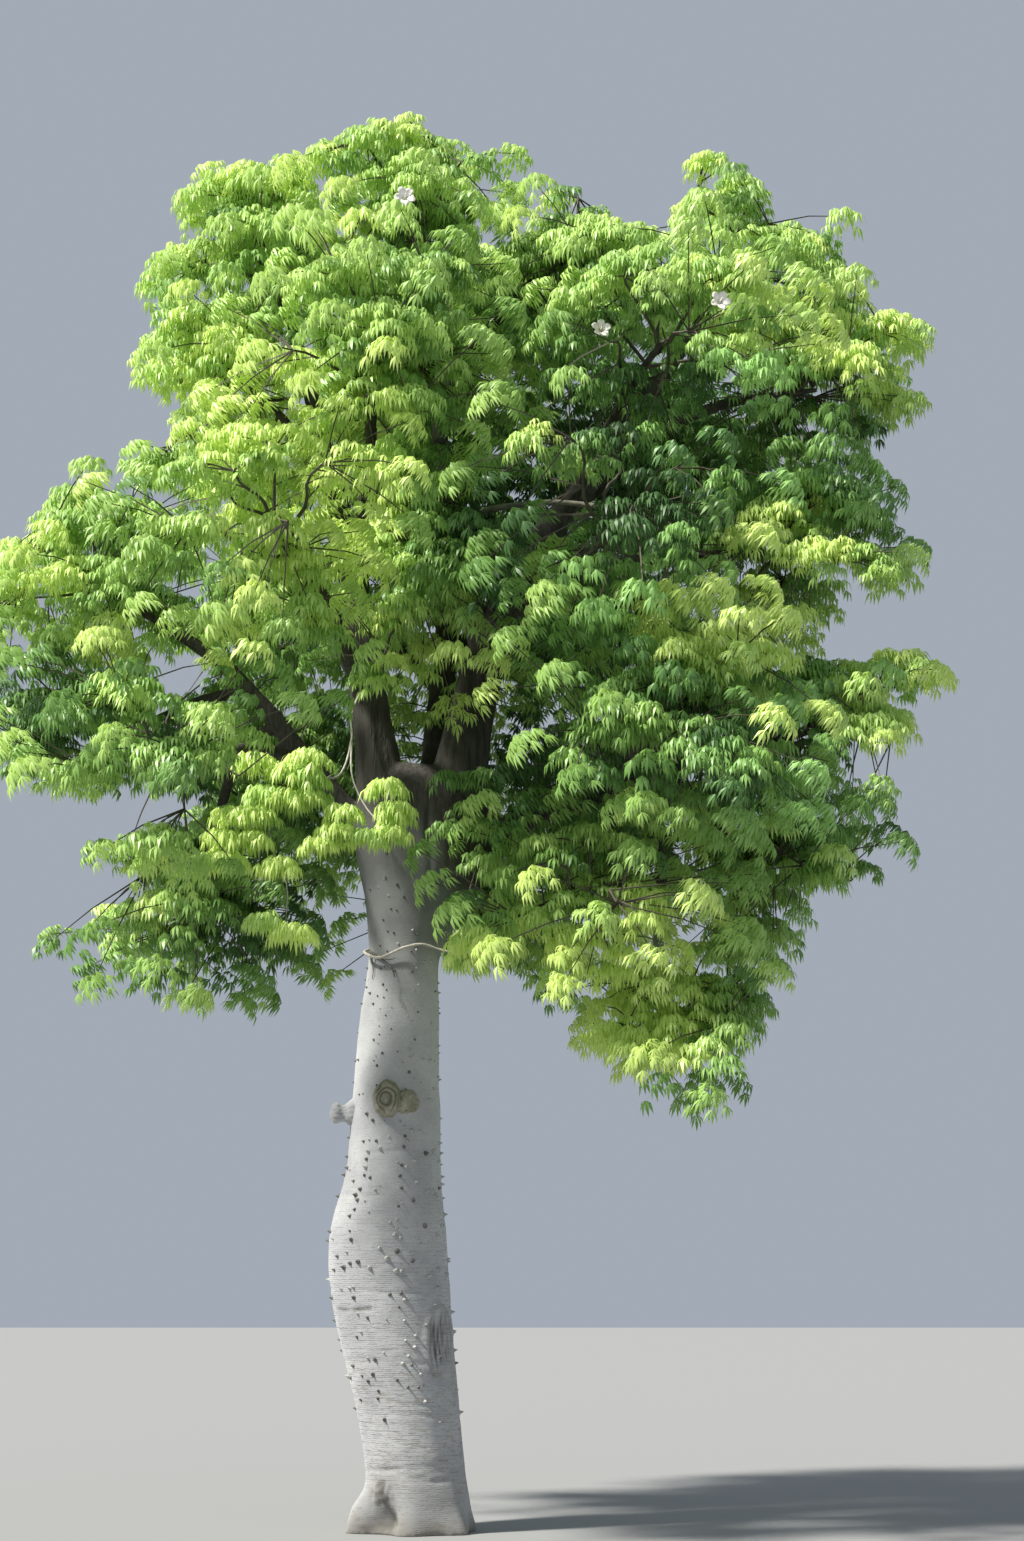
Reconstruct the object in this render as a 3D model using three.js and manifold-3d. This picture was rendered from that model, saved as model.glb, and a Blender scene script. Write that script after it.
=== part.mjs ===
// A floss-silk tree in full leaf: a prickly, bottle-shaped trunk that forks about five metres up,
// limbs that rise from the fork, and a broad crown of leaf masses in five tiers.
// Millimetres, +Z up. The origin lies on the flat cut under the trunk, at ground level.
// The tree is seen from -Y: left is -X, right is +X, and the front is -Y.

import * as THREE from "three";
import { mergeVertices } from "three/addons/utils/BufferGeometryUtils.js";
import Module from "manifold-3d";

const wasm = await Module();
wasm.setup();

// Trunk from the ground to its head. A station is a height, where the trunk's middle stands there,
// and its half width and half depth.
const TRUNK_STATIONS = [
  { z: 0, x: 35, halfWidth: 338, halfDepth: 330 },
  { z: 300, x: 22, halfWidth: 335, halfDepth: 325 },
  { z: 760, x: -47, halfWidth: 355, halfDepth: 348 },
  { z: 1250, x: -133, halfWidth: 394, halfDepth: 384 },
  { z: 1750, x: -200, halfWidth: 420, halfDepth: 410 },
  { z: 2050, x: -207, halfWidth: 406, halfDepth: 400 },
  { z: 2400, x: -178, halfWidth: 345, halfDepth: 345 },
  { z: 2900, x: -160, halfWidth: 312, halfDepth: 312 },
  { z: 3500, x: -143, halfWidth: 287, halfDepth: 290 },
  { z: 4000, x: -108, halfWidth: 265, halfDepth: 272 },
  { z: 4350, x: -38, halfWidth: 358, halfDepth: 320 },
  { z: 4700, x: 8, halfWidth: 468, halfDepth: 372 },
  { z: 5050, x: 12, halfWidth: 496, halfDepth: 372 },
  { z: 5250, x: 0, halfWidth: 405, halfDepth: 300 },
  { z: 5400, x: -20, halfWidth: 190, halfDepth: 150 },
];
const TRUNK_SIDES = 20;
const TRUNK_ROWS = 20;
const ROWS_CROWD_DOWN = 1.35;

// Roots that flare out of the foot: compass angle in degrees from +X, and reach beyond the trunk.
const ROOTS = [
  { angle: 192, reach: 190 },
  { angle: 258, reach: 60 },
  { angle: 322, reach: 85 },
  { angle: 18, reach: 75 },
  { angle: 78, reach: 130 },
  { angle: 136, reach: 110 },
];
const ROOT_HEIGHT = 170;
const ROOT_HALF_ANGLE = 17;

// Two pruned boughs that healed over as knobs with a callus ring.
const KNOBS = [
  { z: 2930, angle: 258, radius: 96, length: 62, tallness: 1.28 },
  { z: 2860, angle: 187, radius: 72, length: 165, tallness: 1 },
];
const KNOB_SIDES = 9;
const KNOB_ROOT = 90;

// Corky prickles in loose upright rows. Each next prickle is five rows on, and strays a little from its row.
const PRICKLES = {
  count: 30,
  rows: 13,
  rowsOn: 5,
  stray: 0.25,
  lowest: 720,
  highest: 3950,
  radius: 18,
  length: 34,
  sides: 4,
  sunk: 14,
  seed: 7,
};

// How much what stands on the bark points up.
const BARK_TILT = 0.08;

// Room left between pieces that touch, and between leaves and limbs.
const GAP = 0.3;
const LEAF_CLEARANCE = 14;
const CELL_MARGIN = 8;

// The six main limbs, by way of a few points from inside the trunk's head to the mass at the tip.
// The leader springs from the right limb. A collar is how much of a limb is one piece with the trunk.
const MAIN_LIMBS = {
  left_limb: {
    radius: 195,
    collar: 0.21,
    by: [[-175, 0, 4500], [-335, -30, 5500], [-560, 0, 7000], [-860, 60, 8300]],
    mass: "top_left",
  },
  right_limb: {
    radius: 235,
    collar: 0.19,
    by: [[190, 0, 4500], [330, -10, 5600], [640, 20, 6700], [1500, 60, 8000]],
    mass: "top_right",
  },
  leader: {
    radius: 92,
    from: "right_limb",
    at: 0.31,
    by: [[190, -120, 7350], [90, -180, 8400]],
    mass: "top_centre",
  },
  left_low_limb: {
    radius: 118,
    collar: 0.24,
    by: [[-170, 60, 4620], [-640, 80, 5180], [-1450, 60, 6150]],
    mass: "middle_left",
  },
  right_low_limb: {
    radius: 128,
    collar: 0.22,
    by: [[200, 60, 4560], [760, 90, 5020], [1750, 120, 5350]],
    mass: "lower_right",
  },
  back_limb: {
    radius: 150,
    collar: 0.2,
    by: [[40, 90, 4560], [90, 420, 5450], [160, 800, 6700], [250, 1000, 8000]],
    mass: "top_back",
  },
};

// The side boughs that spring from each limb: how far along it each one starts, by the mass that it bears.
const SIDE_BOUGHS = {
  left_limb: { middle_front_left: 0.26, upper_front_left: 0.37, upper_back_left: 0.43, upper_left: 0.56 },
  right_limb: {
    middle_front_right: 0.26,
    middle_right: 0.4,
    upper_back_right: 0.47,
    upper_front_right: 0.53,
    upper_right: 0.66,
  },
  leader: { middle_front: 0.24, top_centre_right: 0.55 },
  left_low_limb: { lower_front_left: 0.31, lower_back_left: 0.37, skirt_left: 0.43, lower_left: 0.52 },
  right_low_limb: {
    lower_front_right: 0.29,
    lower_back_right: 0.34,
    skirt_front_right: 0.4,
    skirt_low_right: 0.48,
    skirt_right: 0.58,
  },
  back_limb: { skirt_back: 0.26, middle_back_left: 0.33, middle_back_right: 0.4 },
};
const SIDE_BOUGH_SHARE = 0.6;
const SIDE_BOUGH_THINNEST = 46;
const SIDE_BOUGH_THICKEST = 88;
const BOUGH_TIP_RADIUS = 40;
const TAPER = 0.8;

// A side bough's bend: the length of its handles, and how much it leaves along its limb and rises at its end.
const BEND = { handle: 0.36, alongLimb: 0.7, risingIn: 0.35 };
const SECTION = { mainSides: 7, mainSteps: 8, sideSides: 5, sideSteps: 4, collarSteps: 2 };

// The crown's hearts: three rings of six masses, then the top, the front and the skirt.
const RING_OF_SIX = ["right", "back_right", "back_left", "left", "front_left", "front_right"];
const TIERS = [
  {
    name: "upper",
    centre: [800, 0, 8350],
    halfWidth: 2200,
    halfDepth: 2000,
    moved: { left: [-100, 0, 100], front_left: [50, 0, -350], front_right: [-200, 0, -350] },
  },
  {
    name: "middle",
    centre: [150, 0, 7050],
    halfWidth: 2700,
    halfDepth: 2400,
    moved: { left: [0, 0, -200], front_left: [250, 0, -500], front_right: [-150, 0, -450] },
  },
  {
    name: "lower",
    centre: [350, 0, 5600],
    halfWidth: 2800,
    halfDepth: 2200,
    moved: { right: [-150, 0, 100], front_left: [-600, 250, -500], front_right: [-50, 50, -350] },
  },
];
const TOP_FRONT_AND_SKIRT = {
  top_left: [-1250, 100, 9550],
  top_centre: [-100, -350, 9720],
  top_back: [400, 1350, 9350],
  top_centre_right: [1200, -250, 9350],
  top_right: [2500, 100, 9500],
  middle_front: [200, -1200, 6500],
  skirt_left: [-1900, 600, 4450],
  skirt_back: [350, 1900, 4450],
  skirt_right: [2700, 300, 4600],
  skirt_front_right: [1200, -1100, 4150],
  skirt_low_right: [1900, -250, 3450],
};

// How far a mass reaches from its heart, level and upright, and how near the heart its bough ends.
const MASS_REACH = { level: 1280, upright: 800 };
const MASS_SQUARENESS = 4;
const BOUGH_END = 0.62;
const SHARE_STEP = 0.01;

// Twigs grow from the stem in whorls towards the edge of the mass's space. Each ends in a tuft that stands
// for a spray of palmate leaves: a drooping, ragged umbrella. A whorl's lift is in degrees above level.
const STEM = { sides: 4, steps: 1, tipRadius: 36, lastTwig: 0.97, twigSpan: 0.9 };
const TWIG = { sides: 3, radius: 17, tipRadius: 14 };
const WHORLS = [
  { count: 1, lift: 88 },
  { count: 4, lift: 36 },
  { count: 4, lift: -4 },
  { count: 3, lift: -42 },
];
const STRAY = { bearing: 0.3, lift: 12 };
const TUFT = {
  corners: 7,
  radius: 540,
  shortest: 0.76,
  longest: 1.12,
  thickness: 60,
  droop: 0.38,
  lean: 0.6,
  joint: 0.15,
};
const TUFT_SIZES = [1, 0.88, 0.76, 0.64, 0.52];
const REACH_STEP = 20;
const GOLDEN_ANGLE = Math.PI * (3 - Math.sqrt(5));
const FIRST_SEED = 11;
const SEED_RANGE = 2 ** 32;

// The right of the crown below the top is the shaded side.
const SHADE_FROM_X = 900;
const SHADE_BELOW_Z = 9000;

const BARK_PALE = new THREE.MeshStandardMaterial({ color: 0xa3a19f, roughness: 0.85, metalness: 0 });
const BARK_BROWN = new THREE.MeshStandardMaterial({ color: 0x6d665c, roughness: 0.9, metalness: 0 });
const LEAF_SUNLIT = new THREE.MeshStandardMaterial({ color: 0x8fb73a, roughness: 0.55, metalness: 0 });
const LEAF_SHADED = new THREE.MeshStandardMaterial({ color: 0x4c852b, roughness: 0.55, metalness: 0 });

const UP = new THREE.Vector3(0, 0, 1);
const radians = THREE.MathUtils.degToRad;
const lerp = THREE.MathUtils.lerp;

// A repeatable stream of numbers from 0 to 1.
function seededDraws(seed) {
  let state = seed >>> 0;
  return () => {
    state = (Math.imul(state, 1664525) + 1013904223) >>> 0;
    return state / SEED_RANGE;
  };
}

// A closed geometry with only its positions, each corner once.
function bareGeometry(geometry) {
  const bare = geometry.clone();
  bare.deleteAttribute("normal");
  bare.deleteAttribute("uv");
  return mergeVertices(bare, 1e-4);
}

// Moves each corner of a unit shape to where place(corner) says, and makes it a solid.
function movedSolid(unitGeometry, place) {
  const geometry = bareGeometry(unitGeometry);
  const position = geometry.attributes.position;
  const corner = new THREE.Vector3();
  for (let i = 0; i < position.count; i += 1) {
    corner.fromBufferAttribute(position, i);
    const placed = place(corner);
    position.setXYZ(i, placed.x, placed.y, placed.z);
  }
  const mesh = new wasm.Mesh({
    numProp: 3,
    vertProperties: new Float32Array(position.array),
    triVerts: new Uint32Array(geometry.index.array),
  });
  return new wasm.Manifold(mesh);
}

// The largest body of a solid: loose scraps are dropped and sealed hollows are filled.
function largestBody(solid) {
  const bodies = solid.decompose().filter((body) => body.volume() > 0);
  return bodies.reduce((largest, body) => (body.volume() > largest.volume() ? body : largest));
}

function namedMesh(name, solid, material) {
  const { numProp, vertProperties, triVerts } = largestBody(solid).getMesh();
  const count = vertProperties.length / numProp;
  const positions = new Float32Array(count * 3);
  for (let i = 0; i < count; i += 1) {
    positions.set(vertProperties.subarray(i * numProp, i * numProp + 3), i * 3);
  }
  const geometry = new THREE.BufferGeometry();
  geometry.setAttribute("position", new THREE.BufferAttribute(positions, 3));
  geometry.setIndex(new THREE.BufferAttribute(new Uint32Array(triVerts), 1));
  geometry.computeVertexNormals();
  const mesh = new THREE.Mesh(geometry, material);
  mesh.name = name;
  return mesh;
}

// The trunk's middle and half sizes at a height, by a smooth curve through the stations.
function trunkAt(z) {
  const last = TRUNK_STATIONS.length - 1;
  const found = TRUNK_STATIONS.findLastIndex((station) => station.z <= z);
  const i = THREE.MathUtils.clamp(found, 0, last - 1);
  const low = TRUNK_STATIONS[i];
  const high = TRUNK_STATIONS[i + 1];
  const below = TRUNK_STATIONS[Math.max(i - 1, 0)];
  const above = TRUNK_STATIONS[Math.min(i + 2, last)];
  const span = high.z - low.z;
  const t = THREE.MathUtils.clamp((z - low.z) / span, 0, 1);
  const smooth = (key) => {
    const slopeLow = ((high[key] - below[key]) / (high.z - below.z)) * span;
    const slopeHigh = ((above[key] - low[key]) / (above.z - low.z)) * span;
    const a = 2 * t ** 3 - 3 * t ** 2 + 1;
    const b = t ** 3 - 2 * t ** 2 + t;
    const c = t ** 3 - t ** 2;
    return a * low[key] + b * slopeLow + (1 - a) * high[key] + c * slopeHigh;
  };
  return { x: smooth("x"), halfWidth: smooth("halfWidth"), halfDepth: smooth("halfDepth") };
}

// A point on the bark at a height and compass angle, moved out by a distance.
function onBark(z, angle, out = 0) {
  const { x, halfWidth, halfDepth } = trunkAt(z);
  const flare = ROOTS.reduce((sum, root) => {
    const turn = Math.atan2(Math.sin(angle - radians(root.angle)), Math.cos(angle - radians(root.angle)));
    return sum + root.reach * Math.exp(-((turn / radians(ROOT_HALF_ANGLE)) ** 2) - z / ROOT_HEIGHT);
  }, 0);
  return new THREE.Vector3(
    x + (halfWidth + flare + out) * Math.cos(angle),
    (halfDepth + flare + out) * Math.sin(angle),
    z,
  );
}

// The rows of the trunk's faces are closer together towards the foot.
function trunkShell() {
  const top = TRUNK_STATIONS.at(-1).z;
  const cylinder = new THREE.CylinderGeometry(1, 1, 1, TRUNK_SIDES, TRUNK_ROWS);
  return movedSolid(cylinder, (corner) => {
    const z = top * (corner.y + 0.5) ** ROWS_CROWD_DOWN;
    const onAxis = Math.hypot(corner.x, corner.z) < 0.5;
    return onAxis ? new THREE.Vector3(trunkAt(z).x, 0, z) : onBark(z, Math.atan2(-corner.z, corner.x));
  });
}

// Stands a unit-axis shape (along its own Y) on the bark, pointing out and a little up.
function standOnBark(geometry, z, angle, tallness = 1) {
  const foot = onBark(z, angle);
  const outward = new THREE.Vector3(Math.cos(angle), Math.sin(angle), BARK_TILT).normalize();
  const sideways = new THREE.Vector3().crossVectors(outward, UP).normalize();
  const upward = new THREE.Vector3().crossVectors(sideways, outward);
  return movedSolid(geometry, (corner) =>
    foot
      .clone()
      .addScaledVector(sideways, corner.x)
      .addScaledVector(outward, corner.y)
      .addScaledVector(upward, corner.z * tallness),
  );
}

function knob({ z, angle, radius, length, tallness }) {
  const profile = [
    [0, -KNOB_ROOT],
    [radius * 0.95, -KNOB_ROOT],
    [radius * 0.98, length * 0.35],
    [radius, length * 0.8],
    [radius * 0.8, length],
    [radius * 0.58, length * 0.84],
    [radius * 0.36, length * 0.96],
    [0, length * 0.9],
  ];
  const points = profile.map(([across, along]) => new THREE.Vector2(across, along));
  return standOnBark(new THREE.LatheGeometry(points, KNOB_SIDES), z, radians(angle), tallness);
}

function prickle(index, draw) {
  const row = (index * PRICKLES.rowsOn) % PRICKLES.rows;
  const z = lerp(PRICKLES.lowest, PRICKLES.highest, (index + draw()) / PRICKLES.count);
  const angle = radians((row + PRICKLES.stray * draw()) * (360 / PRICKLES.rows));
  const cone = new THREE.ConeGeometry(PRICKLES.radius, PRICKLES.length + PRICKLES.sunk, PRICKLES.sides);
  cone.translate(0, (PRICKLES.length - PRICKLES.sunk) / 2, 0);
  return standOnBark(cone, z, angle);
}

// A tapering limb along a curve, between two shares of its length.
function limbSolid(curve, from, to, radiusAt, sides, steps) {
  const chord = curve.getPointAt(to).sub(curve.getPointAt(from));
  const level = new THREE.Vector3().crossVectors(chord, UP);
  const sideways = level.length() > 1 ? level.normalize() : new THREE.Vector3(1, 0, 0);
  const cylinder = new THREE.CylinderGeometry(1, 1, 1, sides, steps);
  return movedSolid(cylinder, (corner) => {
    const t = lerp(from, to, corner.y + 0.5);
    const along = curve.getTangentAt(t);
    const across = sideways.clone().addScaledVector(along, -sideways.dot(along)).normalize();
    const over = new THREE.Vector3().crossVectors(across, along);
    const radius = radiusAt(t);
    return curve
      .getPointAt(t)
      .addScaledVector(across, corner.x * radius)
      .addScaledVector(over, corner.z * radius);
  });
}

// The hearts of all masses, by name.
function crownHearts() {
  const hearts = {};
  for (const { name, centre, halfWidth, halfDepth, moved } of TIERS) {
    RING_OF_SIX.forEach((side, i) => {
      const angle = radians(i * 60);
      const [x, y, z] = moved[side] ?? [0, 0, 0];
      hearts[`${name}_${side}`] = new THREE.Vector3(
        centre[0] + halfWidth * Math.cos(angle) + x,
        centre[1] + halfDepth * Math.sin(angle) + y,
        centre[2] + z,
      );
    });
  }
  for (const [name, place] of Object.entries(TOP_FRONT_AND_SKIRT)) {
    hearts[name] = new THREE.Vector3(...place);
  }
  return hearts;
}

// Heights are stretched in this space so that every mass is a ball there.
function stretched(point) {
  return new THREE.Vector3(point.x, point.y, (point.z * MASS_REACH.level) / MASS_REACH.upright);
}

// How far out a point is in a mass: 0 at its heart and 1 on its edge, which is a ball with flattened sides.
function outness(point, heart) {
  const level = Math.hypot(point.x - heart.x, point.y - heart.y) / MASS_REACH.level;
  const upright = Math.abs(point.z - heart.z) / MASS_REACH.upright;
  return (level ** MASS_SQUARENESS + upright ** MASS_SQUARENESS) ** (1 / MASS_SQUARENESS);
}

// The least distance from a point to the planes half way to the neighbouring hearts.
function roomToNeighbours(point, heart, hearts) {
  const p = stretched(point);
  const own = stretched(heart);
  const rooms = Object.values(hearts)
    .filter((other) => other !== heart)
    .map((other) => {
      const o = stretched(other);
      return (p.distanceToSquared(o) - p.distanceToSquared(own)) / (2 * own.distanceTo(o));
    });
  return Math.min(...rooms);
}

// A side bough leaves its limb between the limb's own direction and the heart's, and comes in level.
function sideBoughCurve(limbCurve, at, heart) {
  const start = limbCurve.getPointAt(at);
  const span = heart.clone().sub(start);
  const handle = span.length() * BEND.handle;
  const alongLimb = limbCurve.getTangentAt(at).multiplyScalar(BEND.alongLimb);
  const leaving = span.clone().normalize().add(alongLimb).normalize();
  const arriving = new THREE.Vector3(span.x, span.y, BEND.risingIn * span.z).normalize();
  return new THREE.CubicBezierCurve3(
    start,
    start.clone().addScaledVector(leaving, handle),
    heart.clone().addScaledVector(arriving, -handle),
    heart,
  );
}

// The share of a curve where it has come near enough to its heart for the bough to end.
function boughEndShare(curve, heart, hearts) {
  const room = 2 * BOUGH_TIP_RADIUS;
  let share = 1;
  while (
    outness(curve.getPointAt(share), heart) < BOUGH_END &&
    roomToNeighbours(curve.getPointAt(share), heart, hearts) > room
  ) {
    share -= SHARE_STEP;
  }
  return share + SHARE_STEP;
}

// Every limb and bough: its curve to its heart, where it ends, and its radius along the way.
function growLimbs(hearts) {
  const limbs = {};
  const addLimb = (name, mass, curve, radius, extra) => {
    const end = boughEndShare(curve, hearts[mass], hearts);
    const radiusAt = (t) => lerp(radius, BOUGH_TIP_RADIUS, Math.min(t / end, 1) ** TAPER);
    limbs[name] = { name, mass, curve, end, radiusAt, ...extra };
  };
  const main = { sides: SECTION.mainSides, steps: SECTION.mainSteps };
  const side = { sides: SECTION.sideSides, steps: SECTION.sideSteps };
  for (const [name, { radius, collar, from, at, by, mass }] of Object.entries(MAIN_LIMBS)) {
    const points = by.map((point) => new THREE.Vector3(...point));
    const start = from ? [limbs[from].curve.getPointAt(at)] : [];
    const curve = new THREE.CatmullRomCurve3([...start, ...points, hearts[mass]]);
    addLimb(name, mass, curve, radius, { collar, from, ...main });
  }
  for (const [from, boughs] of Object.entries(SIDE_BOUGHS)) {
    for (const [mass, at] of Object.entries(boughs)) {
      const parent = limbs[from];
      const radius = THREE.MathUtils.clamp(
        parent.radiusAt(at) * SIDE_BOUGH_SHARE,
        SIDE_BOUGH_THINNEST,
        SIDE_BOUGH_THICKEST,
      );
      const curve = sideBoughCurve(parent.curve, at, hearts[mass]);
      addLimb(`bough_${mass}`, mass, curve, radius, { from, ...side });
    }
  }
  return limbs;
}

// A limb's own wood, grown by a clearance. A collar is left to the trunk, less the gap.
function limbWood({ curve, collar, end, radiusAt, sides, steps }, clearance = 0) {
  const from = collar ? collar + GAP / curve.getLength() : 0;
  return limbSolid(curve, from, end, (t) => radiusAt(t) + clearance, sides, steps);
}

// The trunk with its flared foot, knobs, prickles and the collars of the limbs that spring from its head.
function trunkWood(limbs) {
  const draw = seededDraws(PRICKLES.seed);
  let wood = trunkShell();
  for (const { curve, collar, radiusAt, sides } of Object.values(limbs)) {
    if (collar) {
      wood = wood.add(limbSolid(curve, 0, collar, radiusAt, sides, SECTION.collarSteps));
    }
  }
  for (const shape of KNOBS) {
    wood = wood.add(knob(shape));
  }
  for (let i = 0; i < PRICKLES.count; i += 1) {
    wood = wood.add(prickle(i, draw));
  }
  return wood;
}

// One tuft: a ragged umbrella whose axis leans outward and whose corners hang lower than its middle.
function tuftShape(middle, bearing, lean, radius, draw) {
  const outward = new THREE.Vector3(Math.cos(bearing), Math.sin(bearing), 0);
  const axis = UP.clone().addScaledVector(outward, lean).normalize();
  const across = new THREE.Vector3().crossVectors(axis, outward).normalize();
  const forward = new THREE.Vector3().crossVectors(across, axis);
  const raggedness = Array.from({ length: TUFT.corners }, () => lerp(TUFT.shortest, TUFT.longest, draw()));
  const place = (angle, reach, above) =>
    middle
      .clone()
      .addScaledVector(across, reach * Math.sin(angle))
      .addScaledVector(forward, reach * Math.cos(angle))
      .addScaledVector(axis, above - TUFT.droop * reach);
  const solid = movedSolid(new THREE.ConeGeometry(1, 1, TUFT.corners, 1), (corner) => {
    if (Math.hypot(corner.x, corner.z) < 0.5) {
      return place(0, 0, Math.sign(corner.y) * 0.5 * TUFT.thickness);
    }
    const angle = Math.atan2(corner.x, corner.z);
    const i = (Math.round((angle / (2 * Math.PI)) * TUFT.corners) + TUFT.corners) % TUFT.corners;
    return place(angle, radius * raggedness[i], 0);
  });
  return { solid, joint: place(Math.PI, radius * TUFT.joint, 0) };
}

// A twig is a three-sided stick from inside the stem to the underside of its tuft.
function twigSolid(foot, tip) {
  const line = new THREE.LineCurve3(foot, tip);
  return limbSolid(line, 0, 1, (t) => lerp(TWIG.radius, TWIG.tipRadius, t), TWIG.sides, 1);
}

// A mass: the stem that carries on from its bough, and twigs round it with a tuft on each. What would leave
// the mass's own space, or touch a limb or another twig or tuft, is tried smaller, then skipped.
function leafMass({ curve, end }, heart, hearts, limbsGrown, seed) {
  const draw = seededDraws(seed);
  const inSpace = (point) =>
    outness(point, heart) < 1 && roomToNeighbours(point, heart, hearts) > CELL_MARGIN;
  const fits = (solid, others) => {
    const { vertProperties } = solid.getMesh();
    for (let i = 0; i < vertProperties.length; i += 3) {
      if (!inSpace(new THREE.Vector3(...vertProperties.subarray(i, i + 3)))) {
        return false;
      }
    }
    return others.every((other) => solid.intersect(other).isEmpty());
  };
  const stemStart = end + GAP / curve.getLength();
  const stemRadius = (t) => lerp(BOUGH_TIP_RADIUS, STEM.tipRadius, (t - stemStart) / (1 - stemStart));
  const stem = limbSolid(curve, stemStart, 1, stemRadius, STEM.sides, STEM.steps);
  const twigs = [];
  const tufts = [];
  const inAll = WHORLS.reduce((sum, { count }) => sum + count, 0);
  let born = 0;
  const turn = draw() * 2 * Math.PI;
  WHORLS.forEach(({ count, lift }, whorl) => {
    for (let i = 0; i < count; i += 1) {
      const strayed = i + STRAY.bearing * draw();
      const bearing = turn + whorl * GOLDEN_ANGLE + (strayed * 2 * Math.PI) / count;
      const rise = radians(lift + STRAY.lift * (draw() - 0.5));
      const level = Math.cos(rise);
      const direction = new THREE.Vector3(
        Math.cos(bearing) * level,
        Math.sin(bearing) * level,
        Math.sin(rise),
      );
      let edge = 0;
      while (inSpace(heart.clone().addScaledVector(direction, edge))) {
        edge += REACH_STEP;
      }
      const seedOfTuft = Math.floor(draw() * SEED_RANGE);
      const root = curve.getPointAt(lerp(STEM.lastTwig, stemStart, (STEM.twigSpan * born) / inAll));
      born += 1;
      for (const size of TUFT_SIZES) {
        const radius = TUFT.radius * size;
        const middle = heart.clone().addScaledVector(direction, edge - radius * level - TUFT.thickness);
        const tuft = tuftShape(middle, bearing, TUFT.lean * level, radius, seededDraws(seedOfTuft));
        const twig = twigSolid(root, tuft.joint);
        const clearTwig = fits(twig, [...limbsGrown, ...tufts]);
        if (clearTwig && fits(tuft.solid, [...limbsGrown, stem, ...twigs, ...tufts])) {
          twigs.push(twig);
          tufts.push(tuft.solid);
          break;
        }
      }
    }
  });
  return [...twigs, ...tufts].reduce((mass, piece) => mass.add(piece), stem);
}

const tree = new THREE.Group();
const hearts = crownHearts();
const limbs = growLimbs(hearts);
const trunk = trunkWood(limbs);
tree.add(namedMesh("trunk", trunk, BARK_PALE));
for (const limb of Object.values(limbs)) {
  const wood = limbWood(limb);
  const seated = limb.from ? wood.subtract(limbWood(limbs[limb.from], GAP)) : wood;
  tree.add(namedMesh(limb.name, seated, limb.from ? BARK_BROWN : BARK_PALE));
}
const limbsGrown = [trunk, ...Object.values(limbs).map((limb) => limbWood(limb, LEAF_CLEARANCE))];
Object.values(limbs).forEach((limb, i) => {
  const heart = hearts[limb.mass];
  const leaves = leafMass(limb, heart, hearts, limbsGrown, FIRST_SEED + i);
  const sunlit = heart.x < SHADE_FROM_X || heart.z > SHADE_BELOW_Z;
  tree.add(namedMesh(`leaves_${limb.mass}`, leaves, sunlit ? LEAF_SUNLIT : LEAF_SHADED));
});

export default tree;
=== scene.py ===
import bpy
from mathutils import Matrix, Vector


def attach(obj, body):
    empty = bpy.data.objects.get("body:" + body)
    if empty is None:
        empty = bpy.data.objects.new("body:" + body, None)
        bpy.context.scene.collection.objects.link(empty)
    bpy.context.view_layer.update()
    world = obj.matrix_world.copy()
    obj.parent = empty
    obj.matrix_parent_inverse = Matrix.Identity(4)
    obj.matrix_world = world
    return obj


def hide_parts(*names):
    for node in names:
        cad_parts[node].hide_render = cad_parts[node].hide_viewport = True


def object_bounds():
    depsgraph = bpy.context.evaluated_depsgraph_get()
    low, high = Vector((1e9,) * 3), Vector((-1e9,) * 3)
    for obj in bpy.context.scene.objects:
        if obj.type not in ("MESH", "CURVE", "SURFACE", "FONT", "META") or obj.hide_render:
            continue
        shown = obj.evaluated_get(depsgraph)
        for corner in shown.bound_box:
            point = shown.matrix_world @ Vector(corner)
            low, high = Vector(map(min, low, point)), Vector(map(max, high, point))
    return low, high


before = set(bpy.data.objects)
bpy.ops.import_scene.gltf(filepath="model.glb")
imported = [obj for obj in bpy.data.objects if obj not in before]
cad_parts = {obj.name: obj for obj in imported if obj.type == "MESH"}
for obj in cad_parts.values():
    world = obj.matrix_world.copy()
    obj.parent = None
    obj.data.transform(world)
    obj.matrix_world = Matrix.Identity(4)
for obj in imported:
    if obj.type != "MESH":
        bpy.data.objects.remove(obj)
cad_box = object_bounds()
print(len(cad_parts), "packed nodes, box", [[round(v, 2) for v in corner] for corner in cad_box])

# %% [markdown]
# The tree is made from a few numbers, mostly in arrays, so NumPy does the sums. Blender's own noise gives
# the bark its unevenness.
# %% Modules
import math

import bpy
import numpy as np
from mathutils import Vector, noise

UP = np.array([0.0, 0.0, 1.0])
GOLDEN_ANGLE = math.pi * (3 - math.sqrt(5))
# Noise that gives a direction would start from the clock, so it gets a seed.
noise.seed_set(8)

# %% [markdown]
# ## Camera, floor and light
# The photographer stands about 17 metres away with the camera at eye height, tilted up by 12.5 degrees. The
# long side of the picture is 1541 pixels for a 36 mm sensor, and the tree spans an angle that a lens of
# about 55 mm gives. The camera comes first, so that every render shows the same view.
# %% Camera
CAMERA_PLACE = (0.669, -17.0, 1.6)
TILT_UP = math.radians(12.5)
FOCAL_PIXELS = 2360
PICTURE_HEIGHT = 1541
SENSOR = 36

bpy.ops.object.camera_add(location=CAMERA_PLACE, rotation=(math.pi / 2 + TILT_UP, 0, 0))
camera = bpy.context.object
camera.data.sensor_width = SENSOR
camera.data.lens = SENSOR * FOCAL_PIXELS / PICTURE_HEIGHT
camera.data.clip_end = 300
bpy.context.scene.camera = camera
print("lens", round(camera.data.lens, 1), "mm")

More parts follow.
